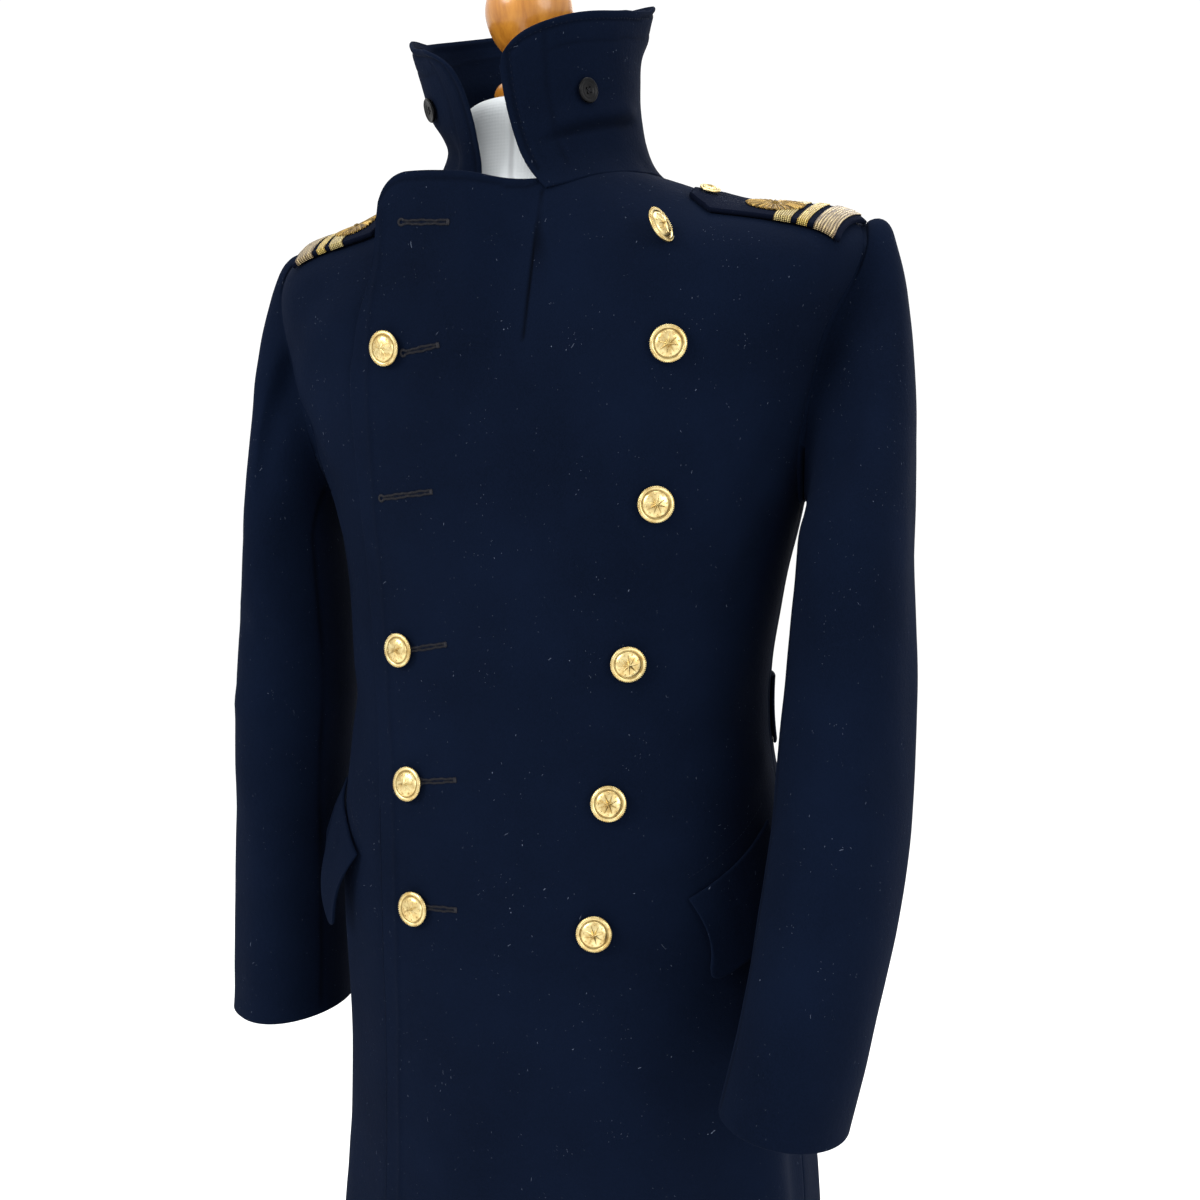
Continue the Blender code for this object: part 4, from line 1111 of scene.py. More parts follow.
def seamLine(grid, points, width=0.0016, depth=-0.0009, dark=0.8):
    # painted shade in the seam's groove, through the seam attribute
    addFold(grid, points, width, depth, fade=0.02, seam=dark)
    addFold(grid, points, width * 4.5, -depth * 0.55, fade=0.06)


left, right = frontLeftGrid(), frontRightGrid()
backs = {1: backGrid(1), -1: backGrid(-1)}
wobble = [(0.085, 0.0013), (0.030, 0.00045)]
for grid in (left, right, backs[1], backs[-1]):
    foldBody(grid)
    addWobble(grid, wobble)

dartLine = [(0.0113, 1.4385), (0.0107, 1.4056), (0.0082, 1.3675), (0.0052, 1.3324)]
# painted shade along the dart's line, through the seam attribute
addFold(left, [frontPlace(x, z) for x, z in dartLine], 0.0013, -0.0010, fade=0.03, seam=0.95)
addFold(left, [frontPlace(x, z) for x, z in dartLine], 0.012, 0.0012, fade=0.35)
facing = {"inside": 0.0165, "height": 0.0007, "width": 0.0026}  # where the turned facing ends
lapelRoll = 0.0045


def edgeRun(grid, inside):
    # points that run this far inside the panel's free vertical edge
    run = []
    for r in range(2, len(levels) - 6, 6):
        away = np.cumsum(np.linalg.norm(np.diff(grid["p"][r], axis=0), axis=1))
        run.append(grid["p"][r][int(np.searchsorted(away, inside)) + 1])
    return np.array(run)


best, along = nearRun(left["p"].reshape(-1, 3), edgeRun(left, facing["inside"]))
ridge = (np.exp(-((best / facing["width"]) ** 2)) * facing["height"]).reshape(left["p"].shape[:2])
left["p"] += left["n"] * ridge[:, :, None]
# painted shade along the facing's edge, through the seam attribute
left["seam"] = np.maximum(left["seam"], 0.12 * ridge / facing["height"])
topRun = []
for c in range(4, step["overlap"], 4):
    high = np.cumsum(np.linalg.norm(np.diff(left["p"][::-1, c], axis=0), axis=1))
    topRun.append(left["p"][len(levels) - 2 - int(np.searchsorted(high, lapelRoll)), c])
best, along = nearRun(left["p"].reshape(-1, 3), np.array(topRun))
line = np.exp(-((best / 0.0016) ** 2)).reshape(left["p"].shape[:2])
left["p"] -= left["n"] * (line * 0.0008)[:, :, None]
# painted shade along the lapel's roll line, through the seam attribute
left["seam"] = np.maximum(left["seam"], 0.3 * line)

cloth = 0.0024
pieces = {}
pieces["coat_front_left"] = shell("coat_front_left", left, cloth, melton)
pieces["coat_front_right"] = shell("coat_front_right", right, cloth, melton)
pieces["coat_back_left"] = shell("coat_back_left", backs[1], cloth, melton)
pieces["coat_back_right"] = shell("coat_back_right", backs[-1], cloth, melton)
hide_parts("front_left")
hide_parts("front_right")
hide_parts("back_left")
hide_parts("back_right")


# Sleeves

print("stage: sleeves")


def fineLoop(loop, count):  # the armhole's edge, smooth and closed
    last = len(loop)
    out = []
    for k in range(count):
        at = last * k / count
        i, t = int(at), at - int(at)
        four = [loop[(i + j) % last] for j in (-1, 0, 1, 2)]
        mixed = []
        for part in (0, 1):
            p0, p1, p2, p3 = [q[part] for q in four]
            mixed.append(0.5 * (2 * p1 + (p2 - p0) * t + (2 * p0 - 5 * p1 + 4 * p2 - p3) * t * t
                                + (3 * p1 - p0 - 3 * p2 + p3) * t ** 3))
        out.append((mixed[0], mixed[1].normalized()))
    return out


def sleeveGrid(side, rows):
    count = clothGrid["sleeveColumns"]
    loop = fineLoop(armholeLoop(side), count)
    allowance, tuck = 0.0060, 0.0034  # the head's edge runs on in under the armhole's
    points = []
    for k in range(clothGrid["sleeveRows"] + 1):
        w = 2.0 * k / clothGrid["sleeveRows"]
        points.append([sleevePoint(side, rows, loop, c, w) for c in range(count)])
    p = np.array([[tuple(q) for q in row] for row in points])
    normals = np.array([tuple(n) for q, n in loop])
    across = np.cross(np.roll(p[0], -1, axis=0) - np.roll(p[0], 1, axis=0), normals)
    across /= np.linalg.norm(across, axis=1)[:, None]
    across *= np.where((across * (p[0] - p[0].mean(axis=0))).sum(axis=1) < 0, -1.0, 1.0)[:, None]
    p[0] += across * allowance - normals * tuck
    roundIt = np.roll(p, -1, axis=1) - np.roll(p, 1, axis=1)
    down = np.gradient(p, axis=0)
    n = np.cross(down, roundIt)
    n /= np.maximum(np.linalg.norm(n, axis=2)[:, :, None], 1e-12)
    outward = p - p.mean(axis=1)[:, None, :]
    n *= np.where((n * outward).sum(axis=2) < 0, -1.0, 1.0)[:, :, None]
    return {"p": p, "n": n, "seam": np.zeros(p.shape[:2])}


# Sleeve folds: (turn round the sleeve, share down it) points, width and depth. Turn 0 is the
# outside, 90 the front and 270 the back.
sleeveFolds = {
    1: [
        # the head stands up from its seam
        ([(-60, 0.035), (-20, 0.026), (20, 0.026), (60, 0.035)], 0.013, 0.0045),
        ([(60, 0.20), (84, 0.28), (112, 0.40)], 0.013, -0.0030),
        ([(40, 0.16), (64, 0.27), (90, 0.38)], 0.014, 0.0020),
        ([(300, 0.18), (276, 0.28), (250, 0.40)], 0.013, -0.0034),
        ([(322, 0.22), (296, 0.34), (268, 0.44)], 0.015, 0.0024),
        ([(128, 0.60), (92, 0.63), (58, 0.60)], 0.014, -0.0032),
        ([(118, 0.67), (84, 0.70), (52, 0.69)], 0.015, 0.0024),
        ([(250, 0.64), (286, 0.68), (318, 0.66)], 0.015, -0.0026),
        ([(8, 0.30), (12, 0.50), (10, 0.72)], 0.024, -0.0018),
        ([(344, 0.50), (350, 0.70), (346, 0.92)], 0.022, 0.0020),
        ([(70, 0.76), (64, 0.86), (60, 0.96)], 0.018, -0.0022),
        ([(262, 0.78), (268, 0.90), (270, 0.98)], 0.018, 0.0018),
    ],
    -1: [
        ([(-60, 0.035), (-20, 0.026), (20, 0.026), (60, 0.035)], 0.013, 0.0045),
        ([(62, 0.18), (86, 0.29), (114, 0.42)], 0.014, -0.0032),
        ([(298, 0.20), (274, 0.30), (248, 0.42)], 0.013, -0.0032),
        ([(318, 0.24), (292, 0.36), (264, 0.46)], 0.015, 0.0022),
        ([(120, 0.58), (88, 0.60), (54, 0.57)], 0.014, -0.0034),
        ([(112, 0.65), (80, 0.67), (48, 0.65)], 0.015, 0.0026),
        ([(252, 0.62), (288, 0.65), (320, 0.63)], 0.015, -0.0024),
        ([(14, 0.34), (10, 0.56), (14, 0.76)], 0.024, -0.0020),
        ([(72, 0.74), (66, 0.86), (64, 0.98)], 0.020, -0.0026),
        ([(40, 0.78), (38, 0.90), (40, 1.00)], 0.018, 0.0020),
        ([(260, 0.80), (266, 0.90), (266, 0.99)], 0.018, 0.0018),
    ],
}
sleeveSeams = {"fore": 152.0, "hind": 216.0}  # the two seams of a two-piece sleeve


def onSleeve(grid, turn, share):
    rows, cols = grid["p"].shape[:2]
    return grid["p"][int(round(share * (rows - 1))), int(round(turn / 360 * cols)) % cols]


sleeves = {}
for side, name, table in ((1, "left", sleeveLeft), (-1, "right", sleeveRight)):
    grid = sleeveGrid(side, table)
    for path, width, depth in sleeveFolds[side]:
        addFold(grid, [onSleeve(grid, a, s) for a, s in path], width, depth, open=(False, path[-1][1] > 0.97))
    addWobble(grid, [(0.070, 0.0010), (0.028, 0.0003)])
    for turn in sleeveSeams.values():
        seamLine(grid, [onSleeve(grid, turn, s / 10) for s in range(11)], width=0.0015, depth=-0.0008,
                 dark=0.7)
    sleeves[side] = grid
    pieces["coat_sleeve_" + name] = shell("coat_sleeve_" + name, grid, cloth, melton, tube=True)
    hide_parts("sleeve_" + name)


# Collar

print("stage: collar")
collarCloth = {
    "baseRows": 6,  # the collar's lower edge lies out over the fronts and backs, to a ragged seam
    "base": [(0.0, 0.0160), (0.05, 0.0150), (0.10, 0.0120), (0.16, 0.0098), (0.22, 0.0112), (0.28, 0.0140),
             (0.40, 0.0090),
             (0.60, 0.0060), (0.80, 0.0060), (0.92, 0.0050), (1.0, 0.0060)],
    "baseOut": 0.0015,
    "endSlope": (0.0165, 0.060, 1.25),  # fall of the top edge at the left end: drop, reach, power
    "endRound": (0.0125, 0.016),
    "frontRise": (0.0036, 0.065, 0.055),
    "sideRise": (0.0040, 0.26, 0.08),
    "farFall": (0.0105, 0.88, 0.08),
    "endBase": 0.0110,  # the left end reaches this far past the neck seam, and its front edge bows forward
    "endReach": 0.0200,
    "farReach": -0.022,
    "crease": [(0.015, 0.22), (0.07, 0.27), (0.13, 0.305), (0.19, 0.33)],
    "backCrease": [(0.26, 0.37), (0.36, 0.40), (0.55, 0.42), (0.80, 0.40), (0.985, 0.36)],
    "edgeInside": 0.0052,  # the rolled edge ends this far in
}


def collarTop(share):
    # the top edge's height as a share of the collar's own height there
    height = tableAt(collarSizes, collarRound, share * (len(collarRound) - 1))["height"]
    fromLeft, fromRight = share * collarLength, (1 - share) * collarLength
    drop, reach, power = collarCloth["endSlope"]
    change = -drop * max(0.0, 1 - fromLeft / reach) ** power
    depth, radius = collarCloth["endRound"]
    inside = max(0.0, 1 - fromLeft / radius)
    change -= depth * (1 - math.sqrt(1 - inside ** 2))
    inside = max(0.0, 1 - fromRight / collarCorner)
    change -= collarCornerDrop * height * (1 - math.sqrt(1 - inside ** 2))
    for key, sign in (("frontRise", 1), ("sideRise", 1), ("farFall", -1)):
        size, middle, width = collarCloth[key]
        change += sign * size * math.exp(-(((share - middle) / width) ** 2))
    return 1 + change / height


def collarAlong():  # level, and forward out of the collar's left end
    along = collarPoint(0.0, 1.0) - collarPoint(0.02, 1.0)
    return Vector((along.x, along.y, 0)).normalized()


def collarBase(share, down):
    # down runs from 0 at the neck seam to 1 at the collar's lower edge, on the coat's surface
    left, right = angleAt(collarEndLeft, neckLevel), angleAt(collarEndRight, neckLevel) + 360
    degrees = left + (right - left) * share
    levelStep = (onBody(degrees, neckLevel) - onBody(degrees, neckLevel - 0.1)).length / 0.1
    ragged = 0.0007 * math.sin(83 * share) * math.sin(31 * share)
    length = float(np.interp(share, *zip(*collarCloth["base"]))) + ragged
    v = neckLevel - length * down / levelStep
    lift = frontLift(degrees) if degrees < 90 else 0.0
    point = onBody(degrees, v) + bodyNormal(degrees, v) * (lift + collarCloth["baseOut"])
    if share < 0.5:
        point += collarAlong() * collarCloth["endBase"] * (1 - ease(0.0, collarEndShare, share))
    return point


def collarGrid():
    count, high, low = clothGrid["collarColumns"], clothGrid["collarRows"], collarCloth["baseRows"]
    points = []
    for j in range(low, 0, -1):
        points.append([tuple(collarBase(k / count, j / low)) for k in range(count + 1)])
    for j in range(high + 1):
        row = []
        for k in range(count + 1):
            share = k / count
            rise = collarTop(share) * j / high
            point = collarPoint(share, rise)
            ends = 1 - ease(0.0, collarEndShare, min(share, 1 - share))
            if share < 0.5:
                bow = collarCloth["endBase"] + collarCloth["endReach"] * (1 - (1 - min(1.0, rise)) ** 2.3)
                point += collarAlong() * (bow - collarPointLeft * rise) * ends
            else:
                along = collarPoint(1.0, 0.0) - collarPoint(0.98, 0.0)
                along = Vector((along.x, along.y, 0)).normalized()
                point += along * (collarCloth["farReach"] * rise ** 5 - collarPointRight * rise) * ends
            row.append(tuple(point))
        points.append(row)
    p = np.array(points)
    first = low
    for again in range(80):  # the cloth turns softly from the shoulder up into the stand
        p[1:first + 13] += (p[:first + 12] + p[2:first + 14] - 2 * p[1:first + 13]) * 0.3
    n = np.cross(np.gradient(p, axis=1), np.gradient(p, axis=0))
    n /= np.linalg.norm(n, axis=2)[:, :, None]
    return {"p": p, "n": n, "seam": np.zeros(p.shape[:2])}


collarShape = collarGrid()
rowsHigh, columnsRound = collarShape["p"].shape[:2]


def onCollar(share, rise):
    row = collarCloth["baseRows"] + rise * clothGrid["collarRows"]
    return Vector(collarShape["p"][int(round(min(rowsHigh - 1, row))),
            int(round(share * (columnsRound - 1)))])


crease = [onCollar(*place) for place in collarCloth["crease"]]
# painted shade along the collar's creases, through the seam attribute
addFold(collarShape, crease, 0.0034, -0.0028, 0.30, seam=0.45)
addFold(collarShape, [p + Vector((0, 0, 0.008)) for p in crease], 0.0075, 0.0024, 0.30)
addFold(collarShape, [onCollar(*place) for place in collarCloth["backCrease"]], 0.0060, -0.0016, 0.15,
        seam=0.10)
addFold(collarShape, [onCollar(*p) for p in ((0.20, 0.72), (0.27, 0.68), (0.34, 0.72), (0.40, 0.70))],
        0.009, -0.0014, 0.3)
addFold(collarShape, [onCollar(*p) for p in ((0.22, 0.86), (0.28, 0.80), (0.36, 0.84))], 0.007, 0.0012, 0.3)
addFold(collarShape, [onCollar(*p) for p in ((0.56, 0.64), (0.66, 0.68), (0.76, 0.62), (0.84, 0.66))],
        0.011, -0.0014, 0.3)


def collarEdge(inside):
    # points that run this far inside the collar's left end, top edge and right end
    p = collarShape["p"]
    aside = max(1, int(round(inside / (collarLength / (columnsRound - 1)))))
    run = [p[r, aside] for r in range(collarCloth["baseRows"] + 2, rowsHigh, 3)]
    for c in range(aside, columnsRound - aside, 3):
        step = np.linalg.norm(np.diff(p[:, c], axis=0), axis=1)[-8:].mean()
        run.append(p[rowsHigh - 1 - int(round(inside / step)), c])
    return np.array(run + [p[r, columnsRound - 1 - aside] for r in range(rowsHigh - 4,
            collarCloth["baseRows"], -3)])


def edgeRoll(grid, run, width=0.0013, depth=0.0011, dark=0.35):
    # a shallow line where a turned and pressed edge ends, with the edge a little fuller and painted shade
    # along the line
    best, along = nearRun(grid["p"].reshape(-1, 3), run)
    size = grid["p"].shape[:2]
    line = np.exp(-((best / width) ** 2)).reshape(size)
    grid["p"] = grid["p"] - grid["n"] * (line * depth)[:, :, None]
    grid["seam"] = np.maximum(grid["seam"], line * dark)


addFold(collarShape, [onCollar(*p) for p in ((0.74, 0.34), (0.82, 0.25), (0.90, 0.20), (0.97, 0.20))],
        0.014, -0.0080, 0.25)
edgeRoll(collarShape, collarEdge(collarCloth["edgeInside"]))
edgeRoll(collarShape, collarEdge(0.019), depth=0.0004, dark=0.22)
addWobble(collarShape, [(0.050, 0.0009), (0.020, 0.0003)])
pieces["coat_collar"] = shell("coat_collar", collarShape, cloth, melton)
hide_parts("collar")


# Pieces that lie on a panel: they follow the finished cloth under them

print("stage: flaps, belt and straps")


flapCloth = {"columns": 44, "rows": 26, "corner": 0.16}


def rowAtHeight(grid, column, height):
    low, high = 0.0, grid["p"].shape[0] - 1.0
    for step in range(30):
        middle = (low + high) / 2
        if onGrid(grid, middle, column, 0)[0].z < height:
            low = middle
        else:
            high = middle
    return low


def flapGrid(side, panel):
    # the flap hangs from a slanted seam over the panel's finished cloth
    fine = clothGrid["frontColumns"] / frontColumns
    rows = []
    for j in range(flapCloth["rows"] + 1):
        drop = 1 - j / flapCloth["rows"]
        row = []
        for k in range(flapCloth["columns"] + 1):
            share = k / flapCloth["columns"]
            nearEnd = min(share, 1 - share)
            # rounded lower corners
            inside = max(0.0, flapCloth["corner"] - nearEnd) / flapCloth["corner"]
            hang = drop * (1 - 0.22 * (1 - math.sqrt(1 - inside ** 2)))
            forward = frontColumns - flapFront[0] - (flapRear[0] - flapFront[0]) * share
            forward -= 0.26 * math.sin(math.pi * min(1.0, hang)) * (1 - share) ** 2
            fromSide = forward - flapSkew * hang
            column = fromSide * fine
            if side == "left":
                column = clothGrid["overlapColumns"] + (frontColumns - fromSide) * fine
            height = flapFront[1] + (flapRear[1] - flapFront[1]) * share - flapDrop * hang
            point, normal = onGrid(panel, rowAtHeight(panel, column, height), column, 0)
            curl = 0.0035 * max(0.0, 1 - 3.0 * share) * math.sin(math.pi * min(1.0, 0.15 + 0.85 * drop))
            out = pieceStep + flapStandOff[side] * drop + curl
            row.append((point + normal * out, normal))
        rows.append(row)
    return gridOf(rows)


def beltGrid():
    # over the waist seam of both backs, a little proud of them
    columns = [beltEndColumn + (backColumns - beltEndColumn) * k / 60 for k in range(61)]
    fine = clothGrid["backColumns"] / backColumns
    rows = []
    for j in range(15):
        v = beltLevels[0] + (beltLevels[-1] - beltLevels[0]) * j / 14
        at = np.interp(v, levels, np.arange(len(levels)))
        row = [onGrid(backs[1], at, c * fine, pieceStep) for c in columns]
        row += [onGrid(backs[-1], at, c * fine, pieceStep) for c in reversed(columns[:-1])]
        rows.append(row)
    return gridOf(rows)


def weltLine(side, panel):  # the stitched line over the flap's seam
    run = []
    for k in range(9):
        share = k / 8
        forward = frontColumns - flapFront[0] - (flapRear[0] - flapFront[0]) * share
        fine = clothGrid["frontColumns"] / frontColumns
        column = forward * fine
        if side == "left":
            column = clothGrid["overlapColumns"] + (frontColumns - forward) * fine
        height = flapFront[1] + (flapRear[1] - flapFront[1]) * share + 0.0125
        run.append(onGrid(panel, rowAtHeight(panel, column, height), column, cloth / 2))
    return run


flatPieces = {}
welts = {}
for side, panel in (("left", left), ("right", right)):
    welts[side] = weltLine(side, panel)
    grid = flapGrid(side, panel)
    addWobble(grid, [(0.03, 0.0005)])
    name = "coat_flap_" + side
    flatPieces[name] = grid
    pieces[name] = shell(name, grid, cloth, melton)
    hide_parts("pocket_flap_" + side)
flatPieces["coat_back_belt"] = beltGrid()
pieces["coat_back_belt"] = shell("coat_back_belt", flatPieces["coat_back_belt"], cloth, melton)
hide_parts("back_belt")

strapCloth = {
    "rows": 96,
    "columns": 48,
    "thickness": 0.0036,
    "bands": [  # name, outer and inner edge measured from the strap's outer end, finish, lift
        ("lace_outer", 0.0045, 0.0200, "silver", 0.0006),
        ("lace_middle", 0.0245, 0.0320, "gold", 0.0006),
        ("lace_inner", 0.0365, 0.0490, "pale", 0.0006),
    ],
    "rosetteFromEnd": 0.0550,
    "rosetteHalf": (0.0195, 0.0175),
    "rays": 32,
}


def strapGrid(side):
    outer, shoulder, tip = strapLines[side]
    rows = []
    for j in range(strapCloth["rows"] + 1):
        at = strapRows * j / strapCloth["rows"]
        if at <= strapPointRow:
            low, high, t = outer, shoulder, at / strapPointRow
        else:
            low, high, t = shoulder, tip, (at - strapPointRow) / (strapRows - strapPointRow)
        x, y, halfWidth, slant = [a + (b - a) * t for a, b in zip(low, high)]
        row = []
        for k in range(strapCloth["columns"] + 1):
            aside = 2 * k / strapCloth["columns"] - 1
            point, normal = onShoulder(side, x + slant * aside, y + halfWidth * aside, strapThickness / 2)
            row.append((point, normal))
        rows.append(row)
    grid = gridOf(rows)
    for again in range(3):  # a stiffened strap lies smoother than the shoulder under it
        n = grid["n"]
        n[1:-1] = (n[:-2] + n[1:-1] + n[2:]) / 3
        grid["n"] = n / np.linalg.norm(n, axis=2)[:, :, None]
    return grid


def strapLength(grid):
    middle = grid["p"][:, grid["p"].shape[1] // 2]
    return np.concatenate([[0], np.cumsum(np.linalg.norm(np.diff(middle, axis=0), axis=1))])


def laceBand(name, grid, start, end, lift, finish, side):
    # a band across the strap that turns down over both its edges
    along = strapLength(grid)
    half = strapCloth["thickness"] / 2
    rows = []
    ribCount = 12
    for k in range(ribCount + 1):
        at = float(np.interp(start + (end - start) * k / ribCount, along, np.arange(len(along))))
        row = []
        columns = grid["p"].shape[1]
        edgeA, normalA = onGrid(grid, at, 0, 0)
        edgeB, normalB = onGrid(grid, at, columns - 1, 0)
        outA = (edgeA - onGrid(grid, at, 1, 0)[0]).normalized()
        outB = (edgeB - onGrid(grid, at, columns - 2, 0)[0]).normalized()
        row.append((edgeA + outA * lift - normalA * half * 0.7, outA))
        row.append((edgeA + outA * lift + normalA * half * 0.5, (outA + normalA * 0.4).normalized()))
        for c in range(0, columns, 2):
            point, normal = onGrid(grid, at, c, half + lift)
            row.append((point, normal))
        row.append((edgeB + outB * lift + normalB * half * 0.5, (outB + normalB * 0.4).normalized()))
        row.append((edgeB + outB * lift - normalB * half * 0.7, outB))
        rows.append(row)
    band = gridOf(rows)
    piece = shell(name, band, 0.0009, finish)
    mesh = piece.data
    uvs = mesh.uv_layers.new(name="lace")
    flatBand = band["p"].reshape(-1, 3)
    count = len(flatBand)
    columns = band["p"].shape[1]
    across = np.concatenate([[0], np.cumsum(np.linalg.norm(np.diff(band["p"][ribCount // 2], axis=0),
            axis=1))])
    tree = BVHTree.FromPolygons([Vector(p) for p in flatBand], [
        (r * columns + c, r * columns + c + 1, (r + 1) * columns + c + 1, (r + 1) * columns + c)
        for r in range(ribCount) for c in range(columns - 1)])
    places = []
    for vertex in mesh.vertices:
        found = tree.find_nearest(vertex.co)
        face = found[2]
        r, c = divmod(face, columns - 1)
        a, b = Vector(band["p"][r, c]), Vector(band["p"][r, c + 1])
        d = Vector(band["p"][r + 1, c])
        t = max(0.0, min(1.0, (found[0] - a).dot(b - a) / (b - a).length_squared))
        s = max(0.0, min(1.0, (found[0] - a).dot(d - a) / (d - a).length_squared))
        places.append(((r + s) / ribCount * (end - start), across[c] + (across[c + 1] - across[c]) * t))
    for loop in mesh.loops:
        uvs.data[loop.index].uv = places[loop.vertex_index]
    return piece


laceFinishes = {"silver": silverLace, "gold": goldLace, "pale": paleLace}
strapPieces = {}
for side, name in ((1, "left"), (-1, "right")):
    grid = strapGrid(side)
    piece = shell("coat_strap_" + name, grid, strapCloth["thickness"], strapMelton, noseShare=0.6)
    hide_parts("shoulder_strap_" + name)
    pieces["coat_strap_" + name] = piece
    strapPieces[side] = grid
    for bandName, start, end, kind, lift in strapCloth["bands"]:
        laceBand(bandName + "_" + name, grid, start, end, lift, laceFinishes[kind], side)
    # A generic rayed rosette in gold wire, in place of the strap's own badge
    along = strapLength(grid)
    columns = grid["p"].shape[1]
    across = np.linalg.norm(np.diff(grid["p"][20], axis=0), axis=1).sum()
    halfLong, halfWide = strapCloth["rosetteHalf"]
    middleAt = strapCloth["rosetteFromEnd"]
    half = strapCloth["thickness"] / 2
    rings = [(0.0, 0.0034), (0.08, 0.0032), (0.16, 0.0018), (0.24, 0.0013), (0.5, 0.0017), (0.75, 0.0016),
             (0.93, 0.0013), (1.0, 0.0007)]
    steps = strapCloth["rays"] * 6
    rows = []
    for share, lift in rings:
        row = []
        for k in range(steps):
            a = 2 * math.pi * k / steps
            ray = 0.5 + 0.5 * math.cos(strapCloth["rays"] * a)
            reach = share * (1 + (0.07 * ray if share > 0.9 else 0.0))
            out = lift + (0.0011 * (ray - 0.5) * min(1.0, share * 2.2) if share > 0.25 else 0.0)
            s = middleAt + halfLong * reach * math.cos(a)
            c = (columns - 1) / 2 + halfWide * reach * math.sin(a) / across * (columns - 1)
            at = float(np.interp(s, along, np.arange(len(along))))
            point, normal = onGrid(grid, at, c, half + 0.0004 + out)
            row.append((point, a, share))
        rows.append(row)
    verts = [tuple(p) for row in rows for p, a, s in row]
    base = len(verts)
    foot = []
    for p, a, s in rows[-1]:
        c = (columns - 1) / 2 + halfWide * math.sin(a) / across * (columns - 1)
        at = float(np.interp(middleAt + halfLong * math.cos(a), along, np.arange(len(along))))
        foot.append(tuple(onGrid(grid, at, c, half + 0.0001)[0]))
    verts += foot
    faces = []
    for r in range(len(rings)):
        for k in range(steps):
            j = (k + 1) % steps
            faces.append((r * steps + k, r * steps + j, (r + 1) * steps + j, (r + 1) * steps + k))
    faces.append([base + k for k in range(steps)])
    mesh = bpy.data.meshes.new("rosette_" + name)
    mesh.from_pydata(verts, [], faces)
    bm = bmesh.new()
    bm.from_mesh(mesh)
    bmesh.ops.remove_doubles(bm, verts=bm.verts, dist=0.00002)
    bmesh.ops.recalc_face_normals(bm, faces=bm.faces)
    bm.to_mesh(mesh)
    bm.free()
    mesh.shade_smooth()
    rosette = bpy.data.objects.new("rosette_" + name, mesh)
    bpy.context.scene.collection.objects.link(rosette)
    uvs = mesh.uv_layers.new(name="lace")
    centre = sum((v.co for v in mesh.vertices), Vector()) / len(mesh.vertices)
    for loop in mesh.loops:
        away = mesh.vertices[loop.vertex_index].co - centre
        turn = math.atan2(away.y, away.x)
        uvs.data[loop.index].uv = (abs(turn) / (2 * math.pi) * 0.15, away.length)
    mesh.materials.append(goldWire)
    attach(rosette, "root")


# Small hard pieces, each modelled once about the origin and copied to its places

print("stage: buttons")


def clearPick():
    bpy.ops.object.select_all(action="DESELECT")


def turned(name, profile, segments, finish):  # profile is (radius, height), from the foot up
    radius, height = profile[0]
    clearPick()
    bpy.ops.mesh.primitive_circle_add(vertices=segments, radius=radius, fill_type="NGON",
            location=(0, 0, height))
    made = bpy.context.object
    made.name = made.data.name = name
    bpy.ops.object.transform_apply(location=True)
    bpy.ops.object.mode_set(mode="EDIT")
    bpy.ops.mesh.select_all(action="SELECT")
    for nextRadius, nextHeight in profile[1:]:
        bpy.ops.mesh.extrude_region_move(TRANSFORM_OT_translate={"value": (0, 0, nextHeight - height)})
        share = nextRadius / radius
        bpy.ops.transform.resize(value=(share, share, 1), center_override=(0, 0, nextHeight))
        radius, height = nextRadius, nextHeight
    bpy.ops.mesh.select_all(action="SELECT")
    bpy.ops.mesh.normals_make_consistent(inside=False)
    bpy.ops.object.mode_set(mode="OBJECT")
    made.data.materials.append(finish)
    clearPick()
    return made


def smoothAngles(made, degrees=35):
    clearPick()
    made.select_set(True)
    bpy.context.view_layer.objects.active = made
    bpy.ops.object.shade_smooth_by_angle(angle=math.radians(degrees))
    clearPick()


def copyTo(master, name, place):  # place is a matrix, put into the copy's own mesh
    made = master.copy()
    made.data = master.data.copy()
    made.name = made.data.name = name
    made.data.transform(place)
    bpy.context.scene.collection.objects.link(made)
    return made


def joined(name, parts):
    clearPick()
    for part in parts:
        part.select_set(True)
    bpy.context.view_layer.objects.active = parts[0]
    bpy.ops.object.join()
    parts[0].name = parts[0].data.name = name
    clearPick()
    return parts[0]


def axesAt(place, up, aheadHint, turn=0.0):
    up = Vector(up).normalized()
    ahead = Vector(aheadHint) - up * Vector(aheadHint).dot(up)
    ahead.normalize()
    ahead = Matrix.Rotation(math.radians(turn), 3, up) @ ahead
    across = up.cross(ahead)
    matrix = Matrix((ahead, across, up)).transposed().to_4x4()
    matrix.translation = Vector(place)
    return matrix


def ball(name, size, place, finish, segments=10, rings=6):
    clearPick()
    bpy.ops.mesh.primitive_uv_sphere_add(segments=segments, ring_count=rings, radius=1.0)
    made = bpy.context.object
    made.name = made.data.name = name
    made.scale = size
    made.location = place
    bpy.ops.object.transform_apply(location=True, rotation=False, scale=True)
    made.data.materials.append(finish)
    for polygon in made.data.polygons:
        polygon.use_smooth = True
    clearPick()
    return made


